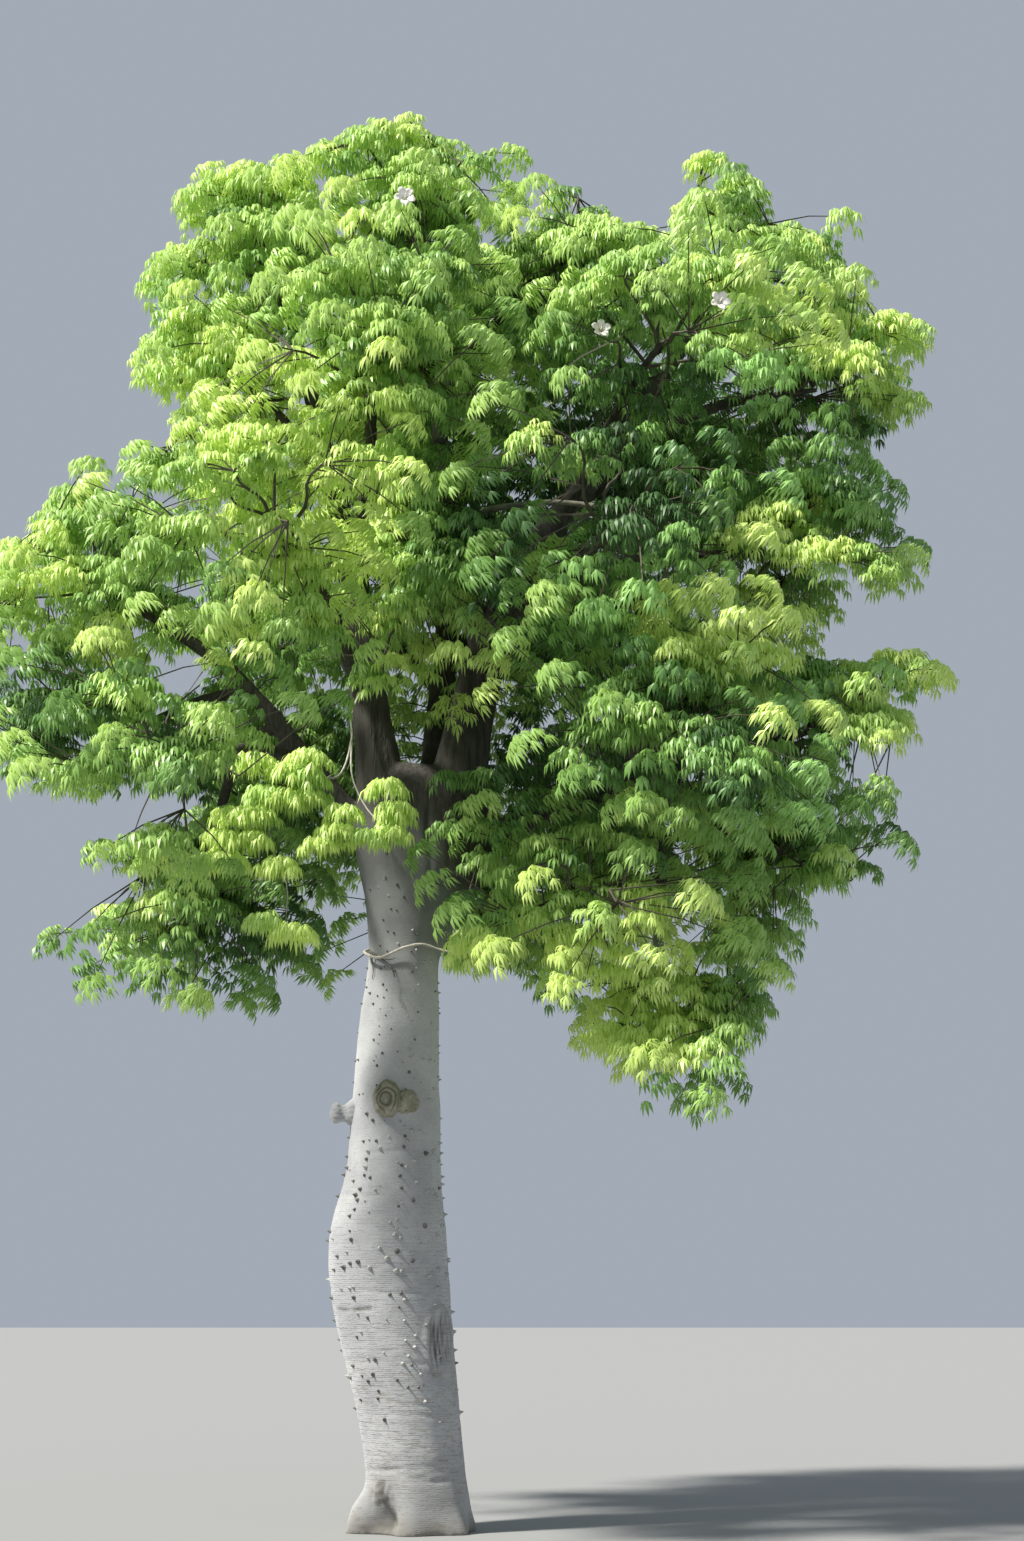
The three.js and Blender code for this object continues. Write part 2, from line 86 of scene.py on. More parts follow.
# %% [markdown]
# A pale, plain floor catches the shadow.
# %% Floor
bpy.ops.mesh.primitive_plane_add(size=160, location=(0, 20, 0))
floor = bpy.context.object
floor.name = "floor"
floor_finish = bpy.data.materials.new("pale_floor")
floor_finish.use_nodes = True
floor_finish.node_tree.nodes["Principled BSDF"].inputs["Base Color"].default_value = (0.27, 0.274, 0.275, 1)
floor_finish.node_tree.nodes["Principled BSDF"].inputs["Roughness"].default_value = 0.9
floor.data.materials.append(floor_finish)

# %% [markdown]
# One large soft lamp stands for the sun: high, well to the left and somewhat to the front, so the trunk's
# left is bright and its right falls into shade. An even, pale sky fills the shadows.
# %% Light
bpy.ops.object.light_add(type="SUN", location=(-12, -5, 15))
key_light = bpy.context.object
key_light.name = "key_light"
key_light.data.energy = 7.1
key_light.data.angle = math.radians(5)
key_light.data.color = (1.0, 0.96, 0.88)
TO_SUN = Vector((-0.58, -0.32, 0.75)).normalized()
key_light.rotation_euler = TO_SUN.to_track_quat("Z", "Y").to_euler()

sky = bpy.data.worlds.new("pale_sky")
bpy.context.scene.world = sky
sky.use_nodes = True
sky.node_tree.nodes["Background"].inputs["Color"].default_value = (0.74, 0.83, 0.95, 1)
sky.node_tree.nodes["Background"].inputs["Strength"].default_value = 0.49
bpy.context.scene.view_settings.view_transform = "Standard"

# %% [markdown]
# ## Finishes
# A finish is a small network of nodes. Written as sums it reads like arithmetic, so one class wraps a
# socket: adding or multiplying two of them adds a Math node, and any other node comes from one method.
# %% A socket that can be used in sums
class Wire:
    """A socket in a material's node tree."""

    def __init__(self, tree, socket):
        self.tree = tree
        self.socket = socket

    def node(self, kind, sockets, settings=None, output=0):
        """Adds a node: its settings first, then the values or links of its sockets."""
        made = self.tree.nodes.new(kind)
        for key, value in (settings or {}).items():
            setattr(made, key, value)
        for key, value in sockets.items():
            if isinstance(value, Wire):
                self.tree.links.new(value.socket, made.inputs[key])
            else:
                made.inputs[key].default_value = value
        return Wire(self.tree, made.outputs[output])

    def maths(self, operation, first, second):
        return self.node("ShaderNodeMath", {0: first, 1: second}, {"operation": operation})

    def __add__(self, other):
        return self.maths("ADD", self, other)

    def __sub__(self, other):
        return self.maths("SUBTRACT", self, other)

    def __rsub__(self, other):
        return self.maths("SUBTRACT", other, self)

    def __mul__(self, other):
        return self.maths("MULTIPLY", self, other)

    __radd__ = __add__
    __rmul__ = __mul__

    def smooth(self, low, high):
        """0 below low and 1 above high, with a soft step between."""
        return self.node(
            "ShaderNodeMapRange",
            {"Value": self, "From Min": low, "From Max": high},
            {"interpolation_type": "SMOOTHSTEP"},
        )

    def noise(self, scale, detail=2.0, roughness=0.5):
        """A noise pattern, from 0 to 1, where this wire is a place."""
        return self.node("ShaderNodeTexNoise", {"Vector": self, "Scale": scale, "Detail": detail,
                                                "Roughness": roughness})

    def bands(self, scale, distortion):
        """Level bands, from 0 to 1, that waver as far as the distortion says."""
        return self.node("ShaderNodeTexWave",
                         {"Vector": self, "Scale": scale, "Distortion": distortion, "Detail": 3.0,
                          "Detail Scale": 1.4, "Detail Roughness": 0.62},
                         {"wave_type": "BANDS", "bands_direction": "Z", "wave_profile": "SIN"}, 1)

    def stretched(self, x, y, z):
        return self.node("ShaderNodeVectorMath", {0: self, 1: (x, y, z)}, {"operation": "MULTIPLY"})

    def axis(self, number):
        """One coordinate of the place that this wire carries."""
        return self.node("ShaderNodeSeparateXYZ", {0: self}, output=number)

    def bump(self, strength, distance):
        """A normal that leans as a surface of this height would."""
        return self.node("ShaderNodeBump", {"Strength": strength, "Distance": distance, "Height": self})

    def tint(self, first, second):
        """The first colour where this wire is 0 and the second where it is 1."""
        pair = [(*c, 1) if isinstance(c, tuple) else c for c in (first, second)]
        return self.node("ShaderNodeMix", {0: self, 6: pair[0], 7: pair[1]}, {"data_type": "RGBA"}, 2)


# %% [markdown]
# Every finish starts in the same way, so that start is a function. Two more plug a wire into a socket of
# the shader and read the number that a mesh keeps at its corners for painted shade in its creases and for a
# scar's darker tone.
# %% Start a finish
def new_finish(name):
    """A material, its shader, and a wire with the place on the object."""
    material = bpy.data.materials.new(name)
    material.use_nodes = True
    tree = material.node_tree
    shader = tree.nodes["Principled BSDF"]
    place = Wire(tree, tree.nodes.new("ShaderNodeTexCoord").outputs["Object"])
    return material, shader, place


def plug(shader, socket, wire):
    shader.id_data.links.new(wire.socket, shader.inputs[socket])


def shade_and_scar_marks(place):
    """The number from 0 to 1 that the mesh keeps at each corner, for painted shade and a scar's darker tone.
    """
    return place.node("ShaderNodeAttribute", {}, {"attribute_name": "crease"}, output=2)


# %% [markdown]
# The bark is pale silver on the trunk, with fine level wrinkles that are strongest round the belly, brown
# flecks, and blotches. The wrinkles are darker, partly in their own tone and partly as painted shade in the
# folds. Towards the head it turns a darker, bluish grey, and on the limbs a dark brown, which begins lower
# down on the shaded right. Both are partly the bark's own tone and partly painted shade of the crown, and
# the change to grey follows the edge of that shade on the trunk. The limbs' furrows get painted shade. The
# foot is painted darker towards the ground as painted shade, and has brown streaks and a dusting of earth.
# One finish does all of it by height, so the colour runs on without a seam from the trunk to the limbs.
# The wrinkles are bands that waver and break off. Grooves, hollows and folds get painted shade, and the
# scar its own darker tone, where the mesh says so in its "crease" attribute.
# %% Bark
SILVER = (0.545, 0.55, 0.56), (0.435, 0.443, 0.46)
# The head's grey and the limbs' brown are partly the bark's own tone and partly painted shade: darker, and the
# grey bluer, as in the crown's shade.
HEAD_GREY_AND_SHADE = (0.19, 0.20, 0.20), (0.13, 0.136, 0.136)
LIMB_BROWN_AND_SHADE = (0.085, 0.078, 0.064), (0.052, 0.048, 0.039)
# Each pair is the heights between which one look gives way to the next, in metres.
BELLY_BEGINS, BELLY_ENDS, WRINKLES_END = (0.05, 0.5), (1.5, 2.6), (4.0, 4.6)
TURNS_GREY, TURNS_BROWN = (4.15, 4.75), (4.95, 5.6)
STREAKS_END, SHADE_ENDS, EARTH_ENDS = (0.7, 1.7), (0.15, 0.75), (0.07, 0.26)


def bark_finish():
    material, shader, place = new_finish("silver_bark")
    height = place.axis(2)
    blotches = place.noise(2.1, 4.0, 0.6)
    flecks = place.noise(38.0, 3.0, 0.6).smooth(0.66, 0.74)
    broken = place.stretched(1.0, 1.0, 8.0).noise(7.0, 4.0, 0.65).smooth(0.46, 0.62)
    broken_finely = place.stretched(1.0, 1.0, 4.0).noise(9.0, 2.0, 0.6).smooth(0.40, 0.62)
    wrinkles = (1 - place.bands(11.5, 4.5).smooth(0.04, 0.30)) * broken
    fine_wrinkles = (1 - place.bands(23.0, 4.0).smooth(0.10, 0.50)) * broken_finely
    furrows = place.stretched(1.0, 1.0, 0.12).noise(26.0, 4.0, 0.62).smooth(0.42, 0.62)
    grain = place.stretched(1.0, 1.0, 2.5).noise(55.0, 3.0, 0.65)
    belly = height.smooth(*BELLY_BEGINS) * (1 - height.smooth(*BELLY_ENDS))
    wrinkled = (0.25 + 0.75 * belly) * (1 - height.smooth(*WRINKLES_END))
    folds = wrinkles * 0.36 + fine_wrinkles * 0.30
    silver = blotches.smooth(0.36, 0.66).tint(*SILVER)
    speckled = (grain.smooth(0.50, 0.66) * 0.26).tint(silver, (0.24, 0.24, 0.235))
    # Darker wrinkles: partly their own tone, partly painted shade in the folds.
    wrinkle_tone_and_shade = (folds * wrinkled * 0.8).tint(speckled, (0.18, 0.175, 0.165))
    flecked = (flecks * 0.55 * (1 - height.smooth(4.6, 5.2))).tint(wrinkle_tone_and_shade, (0.12, 0.10, 0.08))
    grey = blotches.smooth(0.4, 0.65).tint(*HEAD_GREY_AND_SHADE)
    brown = blotches.smooth(0.4, 0.62).tint(*LIMB_BROWN_AND_SHADE)
    # Painted shade: the grey begins where the crown's shade on the trunk begins, and the brown begins lower on
    # the shaded right.
    wander = height + place.noise(1.4) * 0.9
    headed = wander.smooth(*TURNS_GREY).tint(flecked, grey)
    # Darker furrows on the limbs: painted shade in the furrows.
    furrowed = (furrows * 0.7).tint(brown, (0.026, 0.024, 0.02))
    browning_and_right_shade = wander + place.axis(0).smooth(0.05, 0.30) * 0.5
    limbed = browning_and_right_shade.smooth(*TURNS_BROWN).tint(headed, furrowed)
    streaks = place.stretched(1.0, 1.0, 3.5).noise(13.0, 4.0, 0.7).smooth(0.50, 0.66)
    stained = (streaks * (1 - height.smooth(*STREAKS_END)) * 0.50).tint(limbed, (0.27, 0.23, 0.17))
    # Painted shade at the foot: the bark is darker towards the ground.
    shaded = ((1 - height.smooth(*SHADE_ENDS)) * 0.42).tint(stained, (0.25, 0.25, 0.24))
    earth = (1 - (height + place.noise(5.0) * 0.16).smooth(*EARTH_ENDS)) * 0.62
    earthy = earth.tint(shaded, (0.19, 0.17, 0.13))
    # The "crease" marks darken the colour: painted shade in grooves, hollows and folds, and the scar's own
    # darker tone.
    plug(shader, "Base Color", shade_and_scar_marks(place).tint(earthy, (0.075, 0.07, 0.055)))
    plug(shader, "Roughness", 0.72 + 0.2 * blotches)
    shader.inputs["Diffuse Roughness"].default_value = 1.0
    depth = (grain * 0.25 - folds * wrinkled) + place.noise(7.0, 4.0, 0.6) * 0.5
    depth = depth - furrows * height.smooth(4.8, 5.5) * 1.2
    plug(shader, "Normal", depth.bump(0.6, 0.010))
    return material


silver_bark = bark_finish()
print("nodes in the bark:", len(silver_bark.node_tree.nodes))

# %% [markdown]
# Smaller wooden things have simpler finishes of the same kind: young twigs are green-brown, one bare bough
# is grey, a few shoots are almost white, and the prickles are pale cork, some painted dark as painted
# shadow. The thin roots have the dark finish as their own colour. A petal gets one as well, with a finer
# relief.
# %% Twigs, shoots, prickles and petals
def wood_finish(name, light, dark, scale, roughness, relief):
    """Wood with one noise for its two tones and its relief."""
    material, shader, place = new_finish(name)
    grain = place.noise(scale, 4.0, 0.6)
    plug(shader, "Base Color", grain.smooth(0.35, 0.65).tint(light, dark))
    shader.inputs["Roughness"].default_value = roughness
    plug(shader, "Normal", grain.bump(0.5, relief))
    return material


young_twig = wood_finish("young_twig", (0.085, 0.075, 0.05), (0.05, 0.046, 0.03), 14.0, 0.7, 0.004)
grey_bough = wood_finish("grey_bough", (0.26, 0.245, 0.195), (0.17, 0.16, 0.13), 18.0, 0.75, 0.004)
pale_shoot = wood_finish("pale_shoot", (0.50, 0.48, 0.43), (0.36, 0.34, 0.29), 30.0, 0.6, 0.003)
pale_cork = wood_finish("pale_cork", (0.46, 0.455, 0.44), (0.33, 0.325, 0.31), 60.0, 0.7, 0.002)
dark_cork_and_painted_shadow = wood_finish("dark_cork_and_painted_shadow", (0.17, 0.16, 0.145), (0.09, 0.085, 0.075), 60.0, 0.75, 0.002)
petal = wood_finish("petal", (0.86, 0.85, 0.80), (0.80, 0.77, 0.66), 12.0, 0.55, 0.001)

# %% [markdown]
# The callus that closed over the healed stumps is buff with an olive tinge. Its folds get painted shade,
# which the mesh marks in the same attribute.
# %% Callus
def callus_finish():
    material, shader, place = new_finish("callus")
    grain = place.noise(34.0, 4.0, 0.6)
    buff = grain.smooth(0.35, 0.68).tint((0.36, 0.34, 0.28), (0.25, 0.24, 0.185))
    olive = (place.noise(9.0, 2.0).smooth(0.45, 0.62) * 0.7).tint(buff, (0.20, 0.20, 0.125))
    plug(shader, "Base Color", shade_and_scar_marks(place).tint(olive, (0.075, 0.07, 0.045)))
    shader.inputs["Roughness"].default_value = 0.8
    plug(shader, "Normal", grain.bump(0.5, 0.004))
    return material


callus = callus_finish()

# %% [markdown]
# A leaf lets light through, so seen against the sun it glows. Its finish mixes the usual shader with a
# translucent one. Each spray gets one of a few plain greens, which also paint the crown's light and shade:
# young sprays are yellow-green by their own colour, sprays where the sun falls get paler greens as painted
# light, and those inside the crown get deep greens as painted shade. The cool greens are painted shade
# under the sky.
# %% Leaf greens
GREENS = {
    "leaves_lime": (0.66, 0.84, 0.26),
    "leaves_yellow_green": (0.50, 0.71, 0.21),
    "leaves_fresh": (0.37, 0.58, 0.16),
    "leaves_mid": (0.265, 0.46, 0.12),
    "leaves_grass": (0.18, 0.345, 0.088),
    "leaves_deep": (0.115, 0.245, 0.066),
    "leaves_dark": (0.065, 0.15, 0.044),
    "leaves_cool_pale": (0.37, 0.64, 0.205),
    "leaves_cool_mid": (0.25, 0.46, 0.13),
    "leaves_cool_deep": (0.12, 0.26, 0.074),
}
LIGHT_THROUGH = 0.28
# The light that comes through a leaf is redder than its green, and less blue.
THROUGH_TINT = (1.15, 1.1, 0.8)


def leaf_finish(name, green):
    material, shader, _ = new_finish(name)
    nodes, links = material.node_tree.nodes, material.node_tree.links
    shader.inputs["Base Color"].default_value = (*green, 1)
    shader.inputs["Roughness"].default_value = 0.42
    through = nodes.new("ShaderNodeBsdfTranslucent")
    through.inputs["Color"].default_value = (*(g * t for g, t in zip(green, THROUGH_TINT)), 1)
    both = nodes.new("ShaderNodeMixShader")
    both.inputs[0].default_value = LIGHT_THROUGH
    links.new(shader.outputs[0], both.inputs[1])
    links.new(through.outputs[0], both.inputs[2])
    links.new(both.outputs[0], nodes["Material Output"].inputs["Surface"])
    return material


leaf_finishes = {name: leaf_finish(name, green) for name, green in GREENS.items()}
print(len(leaf_finishes), "greens")

# %% [markdown]
# ## The rule that the tree grows by
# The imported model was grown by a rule, which is written again here in metres, so that the finer twigs start
# where its limbs end. Numbers that look random come from a seeded stream and are the same on every run.
# %% A stream of draws
def seeded_draws(seed):
    """A repeatable stream of numbers from 0 to 1."""
    state = [seed]

    def draw():
        state[0] = (state[0] * 1664525 + 1013904223) % 2**32
        return state[0] / 2**32

    return draw


def lerp(low, high, share):
    return low + (high - low) * share


def unit(vector):
    return vector / np.linalg.norm(vector)


# %% [markdown]
# A limb follows a path. A path is kept as many points along a curve and is read by the share of its length,
# from 0 at its start to 1 at its end.
# %% Paths
class Path:
    """A curve that is read by the share of its length."""

    def __init__(self, points):
        self.points = np.array(points, float)
        steps = np.linalg.norm(np.diff(self.points, axis=0), axis=1)
        travelled = np.concatenate([[0], np.cumsum(steps)])
        self.length = travelled[-1]
        self.shares = travelled / self.length

    def at(self, share):
        return np.stack([np.interp(share, self.shares, axis) for axis in self.points.T], axis=-1)

    def along(self, share):
        ahead = self.at(np.minimum(share + 0.005, 1)) - self.at(np.maximum(share - 0.005, 0))
        return ahead / np.linalg.norm(ahead, axis=-1, keepdims=True)


def smooth_path(points):
    """A centripetal Catmull-Rom curve through points."""
    p = np.array(points, float)
    p = np.vstack([2 * p[0] - p[1], p, 2 * p[-1] - p[-2]])
    t = np.linspace(0, 1, 60, endpoint=False)[:, None]
    curve = []
    for a, b, c, d in zip(p, p[1:], p[2:], p[3:]):
        ab, bc, cd = (math.sqrt(np.linalg.norm(q - r)) for q, r in ((b, a), (c, b), (d, c)))
        leaving = ((b - a) / ab - (c - a) / (ab + bc) + (c - b) / bc) * bc
        arriving = ((c - b) / bc - (d - b) / (bc + cd) + (d - c) / cd) * bc
        bend = -3 * b + 3 * c - 2 * leaving - arriving
        curve.append(b + leaving * t + bend * t**2 + (2 * b - 2 * c + leaving + arriving) * t**3)
    return Path(np.vstack([*curve, p[-2:-1]]))


def handled_path(start, first, second, end):
    """A Bezier curve with two handles."""
    t = np.linspace(0, 1, 121)[:, None]
    s = 1 - t
    return Path(start * s**3 + 3 * first * s * s * t + 3 * second * s * t * t + end * t**3)


# %% [markdown]
# The trunk is described by stations: at a height, where its middle is and how wide and deep it is. It
# swells to a belly, narrows to a neck and widens to a head. Roots flare out at its foot.
# %% The trunk's numbers
TRUNK_STATIONS = np.array([
    # height, middle x, half width, half depth
    [0.00, 0.035, 0.338, 0.330],
    [0.30, 0.022, 0.335, 0.325],
    [0.76, -0.047, 0.355, 0.348],
    [1.25, -0.133, 0.394, 0.384],
    [1.75, -0.200, 0.420, 0.410],
    [2.05, -0.207, 0.406, 0.400],
    [2.40, -0.178, 0.345, 0.345],
    [2.90, -0.160, 0.312, 0.312],
    [3.50, -0.143, 0.287, 0.290],
    [4.00, -0.108, 0.265, 0.272],
    [4.35, -0.038, 0.358, 0.320],
    [4.70, 0.008, 0.468, 0.372],
    [5.05, 0.012, 0.496, 0.372],
    [5.25, 0.000, 0.405, 0.300],
    [5.40, -0.020, 0.190, 0.150],
])
ROOTS = [(192, 0.190), (258, 0.060), (322, 0.085), (18, 0.075), (78, 0.130), (136, 0.110)]
ROOT_HEIGHT = 0.170
ROOT_HALF_ANGLE = math.radians(17)


def trunk_at(z):
    """The trunk's middle, half width and half depth at heights, by a smooth curve."""
    s = TRUNK_STATIONS
    last = len(s) - 1
    i = np.clip(np.searchsorted(s[:, 0], z, side="right") - 1, 0, last - 1)
    low, high = s[i], s[i + 1]
    below, above = s[np.maximum(i - 1, 0)], s[np.minimum(i + 2, last)]
    span = (high[..., :1] - low[..., :1])
    t = np.clip((np.asarray(z)[..., None] - low[..., :1]) / span, 0, 1)
    slope_low = (high - below) / (high[..., :1] - below[..., :1]) * span
    slope_high = (above - low) / (above[..., :1] - low[..., :1]) * span
    a = 2 * t**3 - 3 * t**2 + 1
    found = a * low + (t**3 - 2 * t**2 + t) * slope_low + (1 - a) * high + (t**3 - t**2) * slope_high
    return found[..., 1], found[..., 2], found[..., 3]


def on_bark(z, angle, out=0.0):
    """Places on the bark at heights and compass angles, moved out by a distance."""
    middle, half_width, half_depth = trunk_at(z)
    flare = out
    for root_angle, reach in ROOTS:
        turn = angle - math.radians(root_angle)
        turn = np.arctan2(np.sin(turn), np.cos(turn))
        flare = flare + reach * np.exp(-((turn / ROOT_HALF_ANGLE) ** 2) - z / ROOT_HEIGHT)
    return np.stack([
        middle + (half_width + flare) * np.cos(angle),
        (half_depth + flare) * np.sin(angle),
        z + 0 * angle,
    ], axis=-1)


print("belly", round(2 * float(trunk_at(np.array(1.8))[1]), 2), "m across")

# %% [markdown]
# Six main limbs rise from the head, one of them from another limb, and side boughs spring from them. Each
# bears one mass of foliage at its tip.
# %% The limbs' numbers
MAIN_LIMBS = {
    # name: radius, collar, limb that it springs from, share along it, points on the way, mass at its tip
    "left_limb": (0.195, 0.21, None, 0, [(-0.175, 0, 4.5), (-0.335, -0.03, 5.5), (-0.56, 0, 7.0),
                                         (-0.86, 0.06, 8.3)], "top_left"),
    "right_limb": (0.235, 0.19, None, 0, [(0.19, 0, 4.5), (0.33, -0.01, 5.6), (0.64, 0.02, 6.7),
                                          (1.5, 0.06, 8.0)], "top_right"),
    "leader": (0.092, None, "right_limb", 0.31, [(0.19, -0.12, 7.35), (0.09, -0.18, 8.4)], "top_centre"),
    "left_low_limb": (0.118, 0.24, None, 0, [(-0.17, 0.06, 4.62), (-0.64, 0.08, 5.18),
                                             (-1.45, 0.06, 6.15)], "middle_left"),
    "right_low_limb": (0.128, 0.22, None, 0, [(0.2, 0.06, 4.56), (0.76, 0.09, 5.02),
                                              (1.75, 0.12, 5.35)], "lower_right"),
    "back_limb": (0.150, 0.20, None, 0, [(0.04, 0.09, 4.56), (0.09, 0.42, 5.45), (0.16, 0.8, 6.7),
                                         (0.25, 1.0, 8.0)], "top_back"),
}
SIDE_BOUGHS = {
    "left_limb": {"middle_front_left": 0.26, "upper_front_left": 0.37, "upper_back_left": 0.43,
                  "upper_left": 0.56},
    "right_limb": {"middle_front_right": 0.26, "middle_right": 0.4, "upper_back_right": 0.47,
                   "upper_front_right": 0.53, "upper_right": 0.66},
    "leader": {"middle_front": 0.24, "top_centre_right": 0.55},
    "left_low_limb": {"lower_front_left": 0.31, "lower_back_left": 0.37, "skirt_left": 0.43,
                      "lower_left": 0.52},
    "right_low_limb": {"lower_front_right": 0.29, "lower_back_right": 0.34, "skirt_front_right": 0.4,
                       "skirt_low_right": 0.48, "skirt_right": 0.58},
    "back_limb": {"skirt_back": 0.26, "middle_back_left": 0.33, "middle_back_right": 0.4},
}
SIDE_BOUGH_SHARE = 0.6
SIDE_BOUGH_THINNEST, SIDE_BOUGH_THICKEST = 0.046, 0.088
BOUGH_TIP_RADIUS = 0.040
TAPER = 0.8

# %% [markdown]
# Each mass of foliage has a heart. Three rings of six make the tiers, and a few more make the top, the
# front and the skirt.
# %% The hearts of the crown
RING_OF_SIX = ["right", "back_right", "back_left", "left", "front_left", "front_right"]
TIERS = {
    # name: centre, half width, half depth, and which hearts are moved from their ring
    "upper": ((0.8, 0, 8.35), 2.2, 2.0, {"left": (-0.1, 0, 0.1), "front_left": (0.05, 0, -0.35),
                                         "front_right": (-0.2, 0, -0.35)}),
    "middle": ((0.15, 0, 7.05), 2.7, 2.4, {"left": (0, 0, -0.2), "front_left": (0.25, 0, -0.5),
                                           "front_right": (-0.15, 0, -0.45)}),
    "lower": ((0.35, 0, 5.6), 2.8, 2.2, {"right": (-0.15, 0, 0.1), "front_left": (-0.6, 0.25, -0.5),
                                         "front_right": (-0.05, 0.05, -0.35)}),
}
TOP_FRONT_AND_SKIRT = {
    "top_left": (-1.25, 0.1, 9.55), "top_centre": (-0.1, -0.35, 9.72), "top_back": (0.4, 1.35, 9.35),
    "top_centre_right": (1.2, -0.25, 9.35), "top_right": (2.5, 0.1, 9.5), "middle_front": (0.2, -1.2, 6.5),
    "skirt_left": (-1.9, 0.6, 4.45), "skirt_back": (0.35, 1.9, 4.45), "skirt_right": (2.7, 0.3, 4.6),
    "skirt_front_right": (1.2, -1.1, 4.15), "skirt_low_right": (1.9, -0.25, 3.45),
}
hearts = {}
for tier, (centre, half_width, half_depth, moved) in TIERS.items():
    for i, side in enumerate(RING_OF_SIX):
        ring = (half_width * math.cos(i * math.pi / 3), half_depth * math.sin(i * math.pi / 3), 0)
        hearts[f"{tier}_{side}"] = np.array(centre) + ring + moved.get(side, (0, 0, 0))
hearts.update({name: np.array(place) for name, place in TOP_FRONT_AND_SKIRT.items()})
print(len(hearts), "masses of foliage")

# %% [markdown]
# A mass keeps to its own space: no further from its heart than its reach, and on its own side of the plane
# half way to each neighbour. Both tests take many points at once.
# %% A mass's own space
MASS_REACH_LEVEL, MASS_REACH_UPRIGHT = 1.28, 0.80
STRETCH = np.array([1, 1, MASS_REACH_LEVEL / MASS_REACH_UPRIGHT])
heart_places = np.array(list(hearts.values()))


def outness(points, heart):
    """0 at the heart and 1 at the edge of the mass's space."""
    away = points - heart
    level = np.hypot(away[..., 0], away[..., 1]) / MASS_REACH_LEVEL
    upright = np.abs(away[..., 2]) / MASS_REACH_UPRIGHT
    return (level**4 + upright**4) ** 0.25


def room_to_neighbours(points, heart):
    """The least distance to the planes half way to the neighbouring hearts."""
    others = heart_places[np.linalg.norm(heart_places - heart, axis=1) > 1e-6] * STRETCH
    p, own = (points * STRETCH)[..., None, :], heart * STRETCH
    far = ((p - others) ** 2).sum(-1) - ((p - own) ** 2).sum(-1)
    return (far / (2 * np.linalg.norm(others - own, axis=1))).min(-1)


def in_space(points, heart, margin=0.008):
    return (outness(points, heart) < 1) & (room_to_neighbours(points, heart) > margin)


# %% [markdown]
# The limbs' paths follow from those numbers. A bough ends where it comes near its heart. From there a
# slender stem carries on to the heart itself.
# %% Grow the limbs
BEND_HANDLE, BEND_ALONG_LIMB, BEND_RISING_IN = 0.36, 0.7, 0.35
BOUGH_END = 0.62


class Limb:
    """A limb's path to its heart, where its bough ends, and its radius along the way."""

    def __init__(self, path, mass, radius, collar=None):
        self.path, self.mass, self.radius, self.collar = path, mass, radius, collar
        shares = np.arange(1, 0, -0.01)
        places = path.at(shares)
        heart = hearts[mass]
        near = (outness(places, heart) < BOUGH_END) & (
            room_to_neighbours(places, heart) > 2 * BOUGH_TIP_RADIUS)
        self.end = shares[np.argmin(near)] + 0.01

    def radius_at(self, share):
        return lerp(self.radius, BOUGH_TIP_RADIUS, np.minimum(share / self.end, 1) ** TAPER)


limbs = {}
for name, (radius, collar, parent, share, points, mass) in MAIN_LIMBS.items():
    start = [limbs[parent].path.at(share)] if parent else []
    limbs[name] = Limb(smooth_path([*start, *points, hearts[mass]]), mass, radius, collar)
for parent, boughs in SIDE_BOUGHS.items():
    for mass, share in boughs.items():
        path, heart = limbs[parent].path, hearts[mass]
        start = path.at(share)
        span = heart - start
        handle = np.linalg.norm(span) * BEND_HANDLE
        leaving = unit(unit(span) + path.along(share) * BEND_ALONG_LIMB)
        arriving = unit(span * (1, 1, BEND_RISING_IN))
        curve = handled_path(start, start + leaving * handle, heart - arriving * handle, heart)
        thick = limbs[parent].radius_at(share) * SIDE_BOUGH_SHARE
        radius = min(max(thick, SIDE_BOUGH_THINNEST), SIDE_BOUGH_THICKEST)
        limbs[f"bough_{mass}"] = Limb(curve, mass, radius)
print(len(limbs), "limbs and boughs")

# %% [markdown]
# ## Wood
# Tubes are the limbs, boughs and twigs. A tube is rings of corners round a path, closed at both ends. Its
# corners and faces are arrays, because thousands of twigs are joined into one mesh in the end.
# %% Tubes from arrays
def tube(points, radii, sides, closed=True):
    """Corners and faces of a tube round a row of points."""
    points, radii = np.array(points, float), np.array(radii, float)
    along = np.gradient(points, axis=0)
    along /= np.linalg.norm(along, axis=1)[:, None]
    side = np.cross(along, UP)
    flat = np.linalg.norm(side, axis=1) < 0.05
    side[flat] = np.cross(along[flat], (0, 1, 0))
    side /= np.linalg.norm(side, axis=1)[:, None]
    over = np.cross(side, along)
    turns = np.arange(sides) * 2 * math.pi / sides
    ring = np.cos(turns)[None, :, None] * side[:, None] + np.sin(turns)[None, :, None] * over[:, None]
    corners = (points[:, None] + radii[:, None, None] * ring).reshape(-1, 3)
    rows = np.arange(len(points) - 1)[:, None] * sides
    i, j = np.arange(sides), (np.arange(sides) + 1) % sides
    quads = np.stack([rows + i, rows + i + sides, rows + j + sides, rows + j], axis=-1).reshape(-1, 4)
    faces = quads.tolist()
    if closed:
        faces.append(list(range(sides)))
        faces.append(list(range(len(corners) - 1, len(corners) - sides - 1, -1)))
    return corners, faces


# %% [markdown]
# A few steps come back for most pieces, so each is a function: join many parts into one mesh, select, apply
# a modifier, shade smooth, and read or move all corners as one array.
# %% Steps that come back
def new_piece(name, mesh, finish):
    """Puts a mesh into the scene with its finish."""
    made = bpy.data.objects.new(name, mesh)
    bpy.context.collection.objects.link(made)
    mesh.materials.append(finish)
    return made


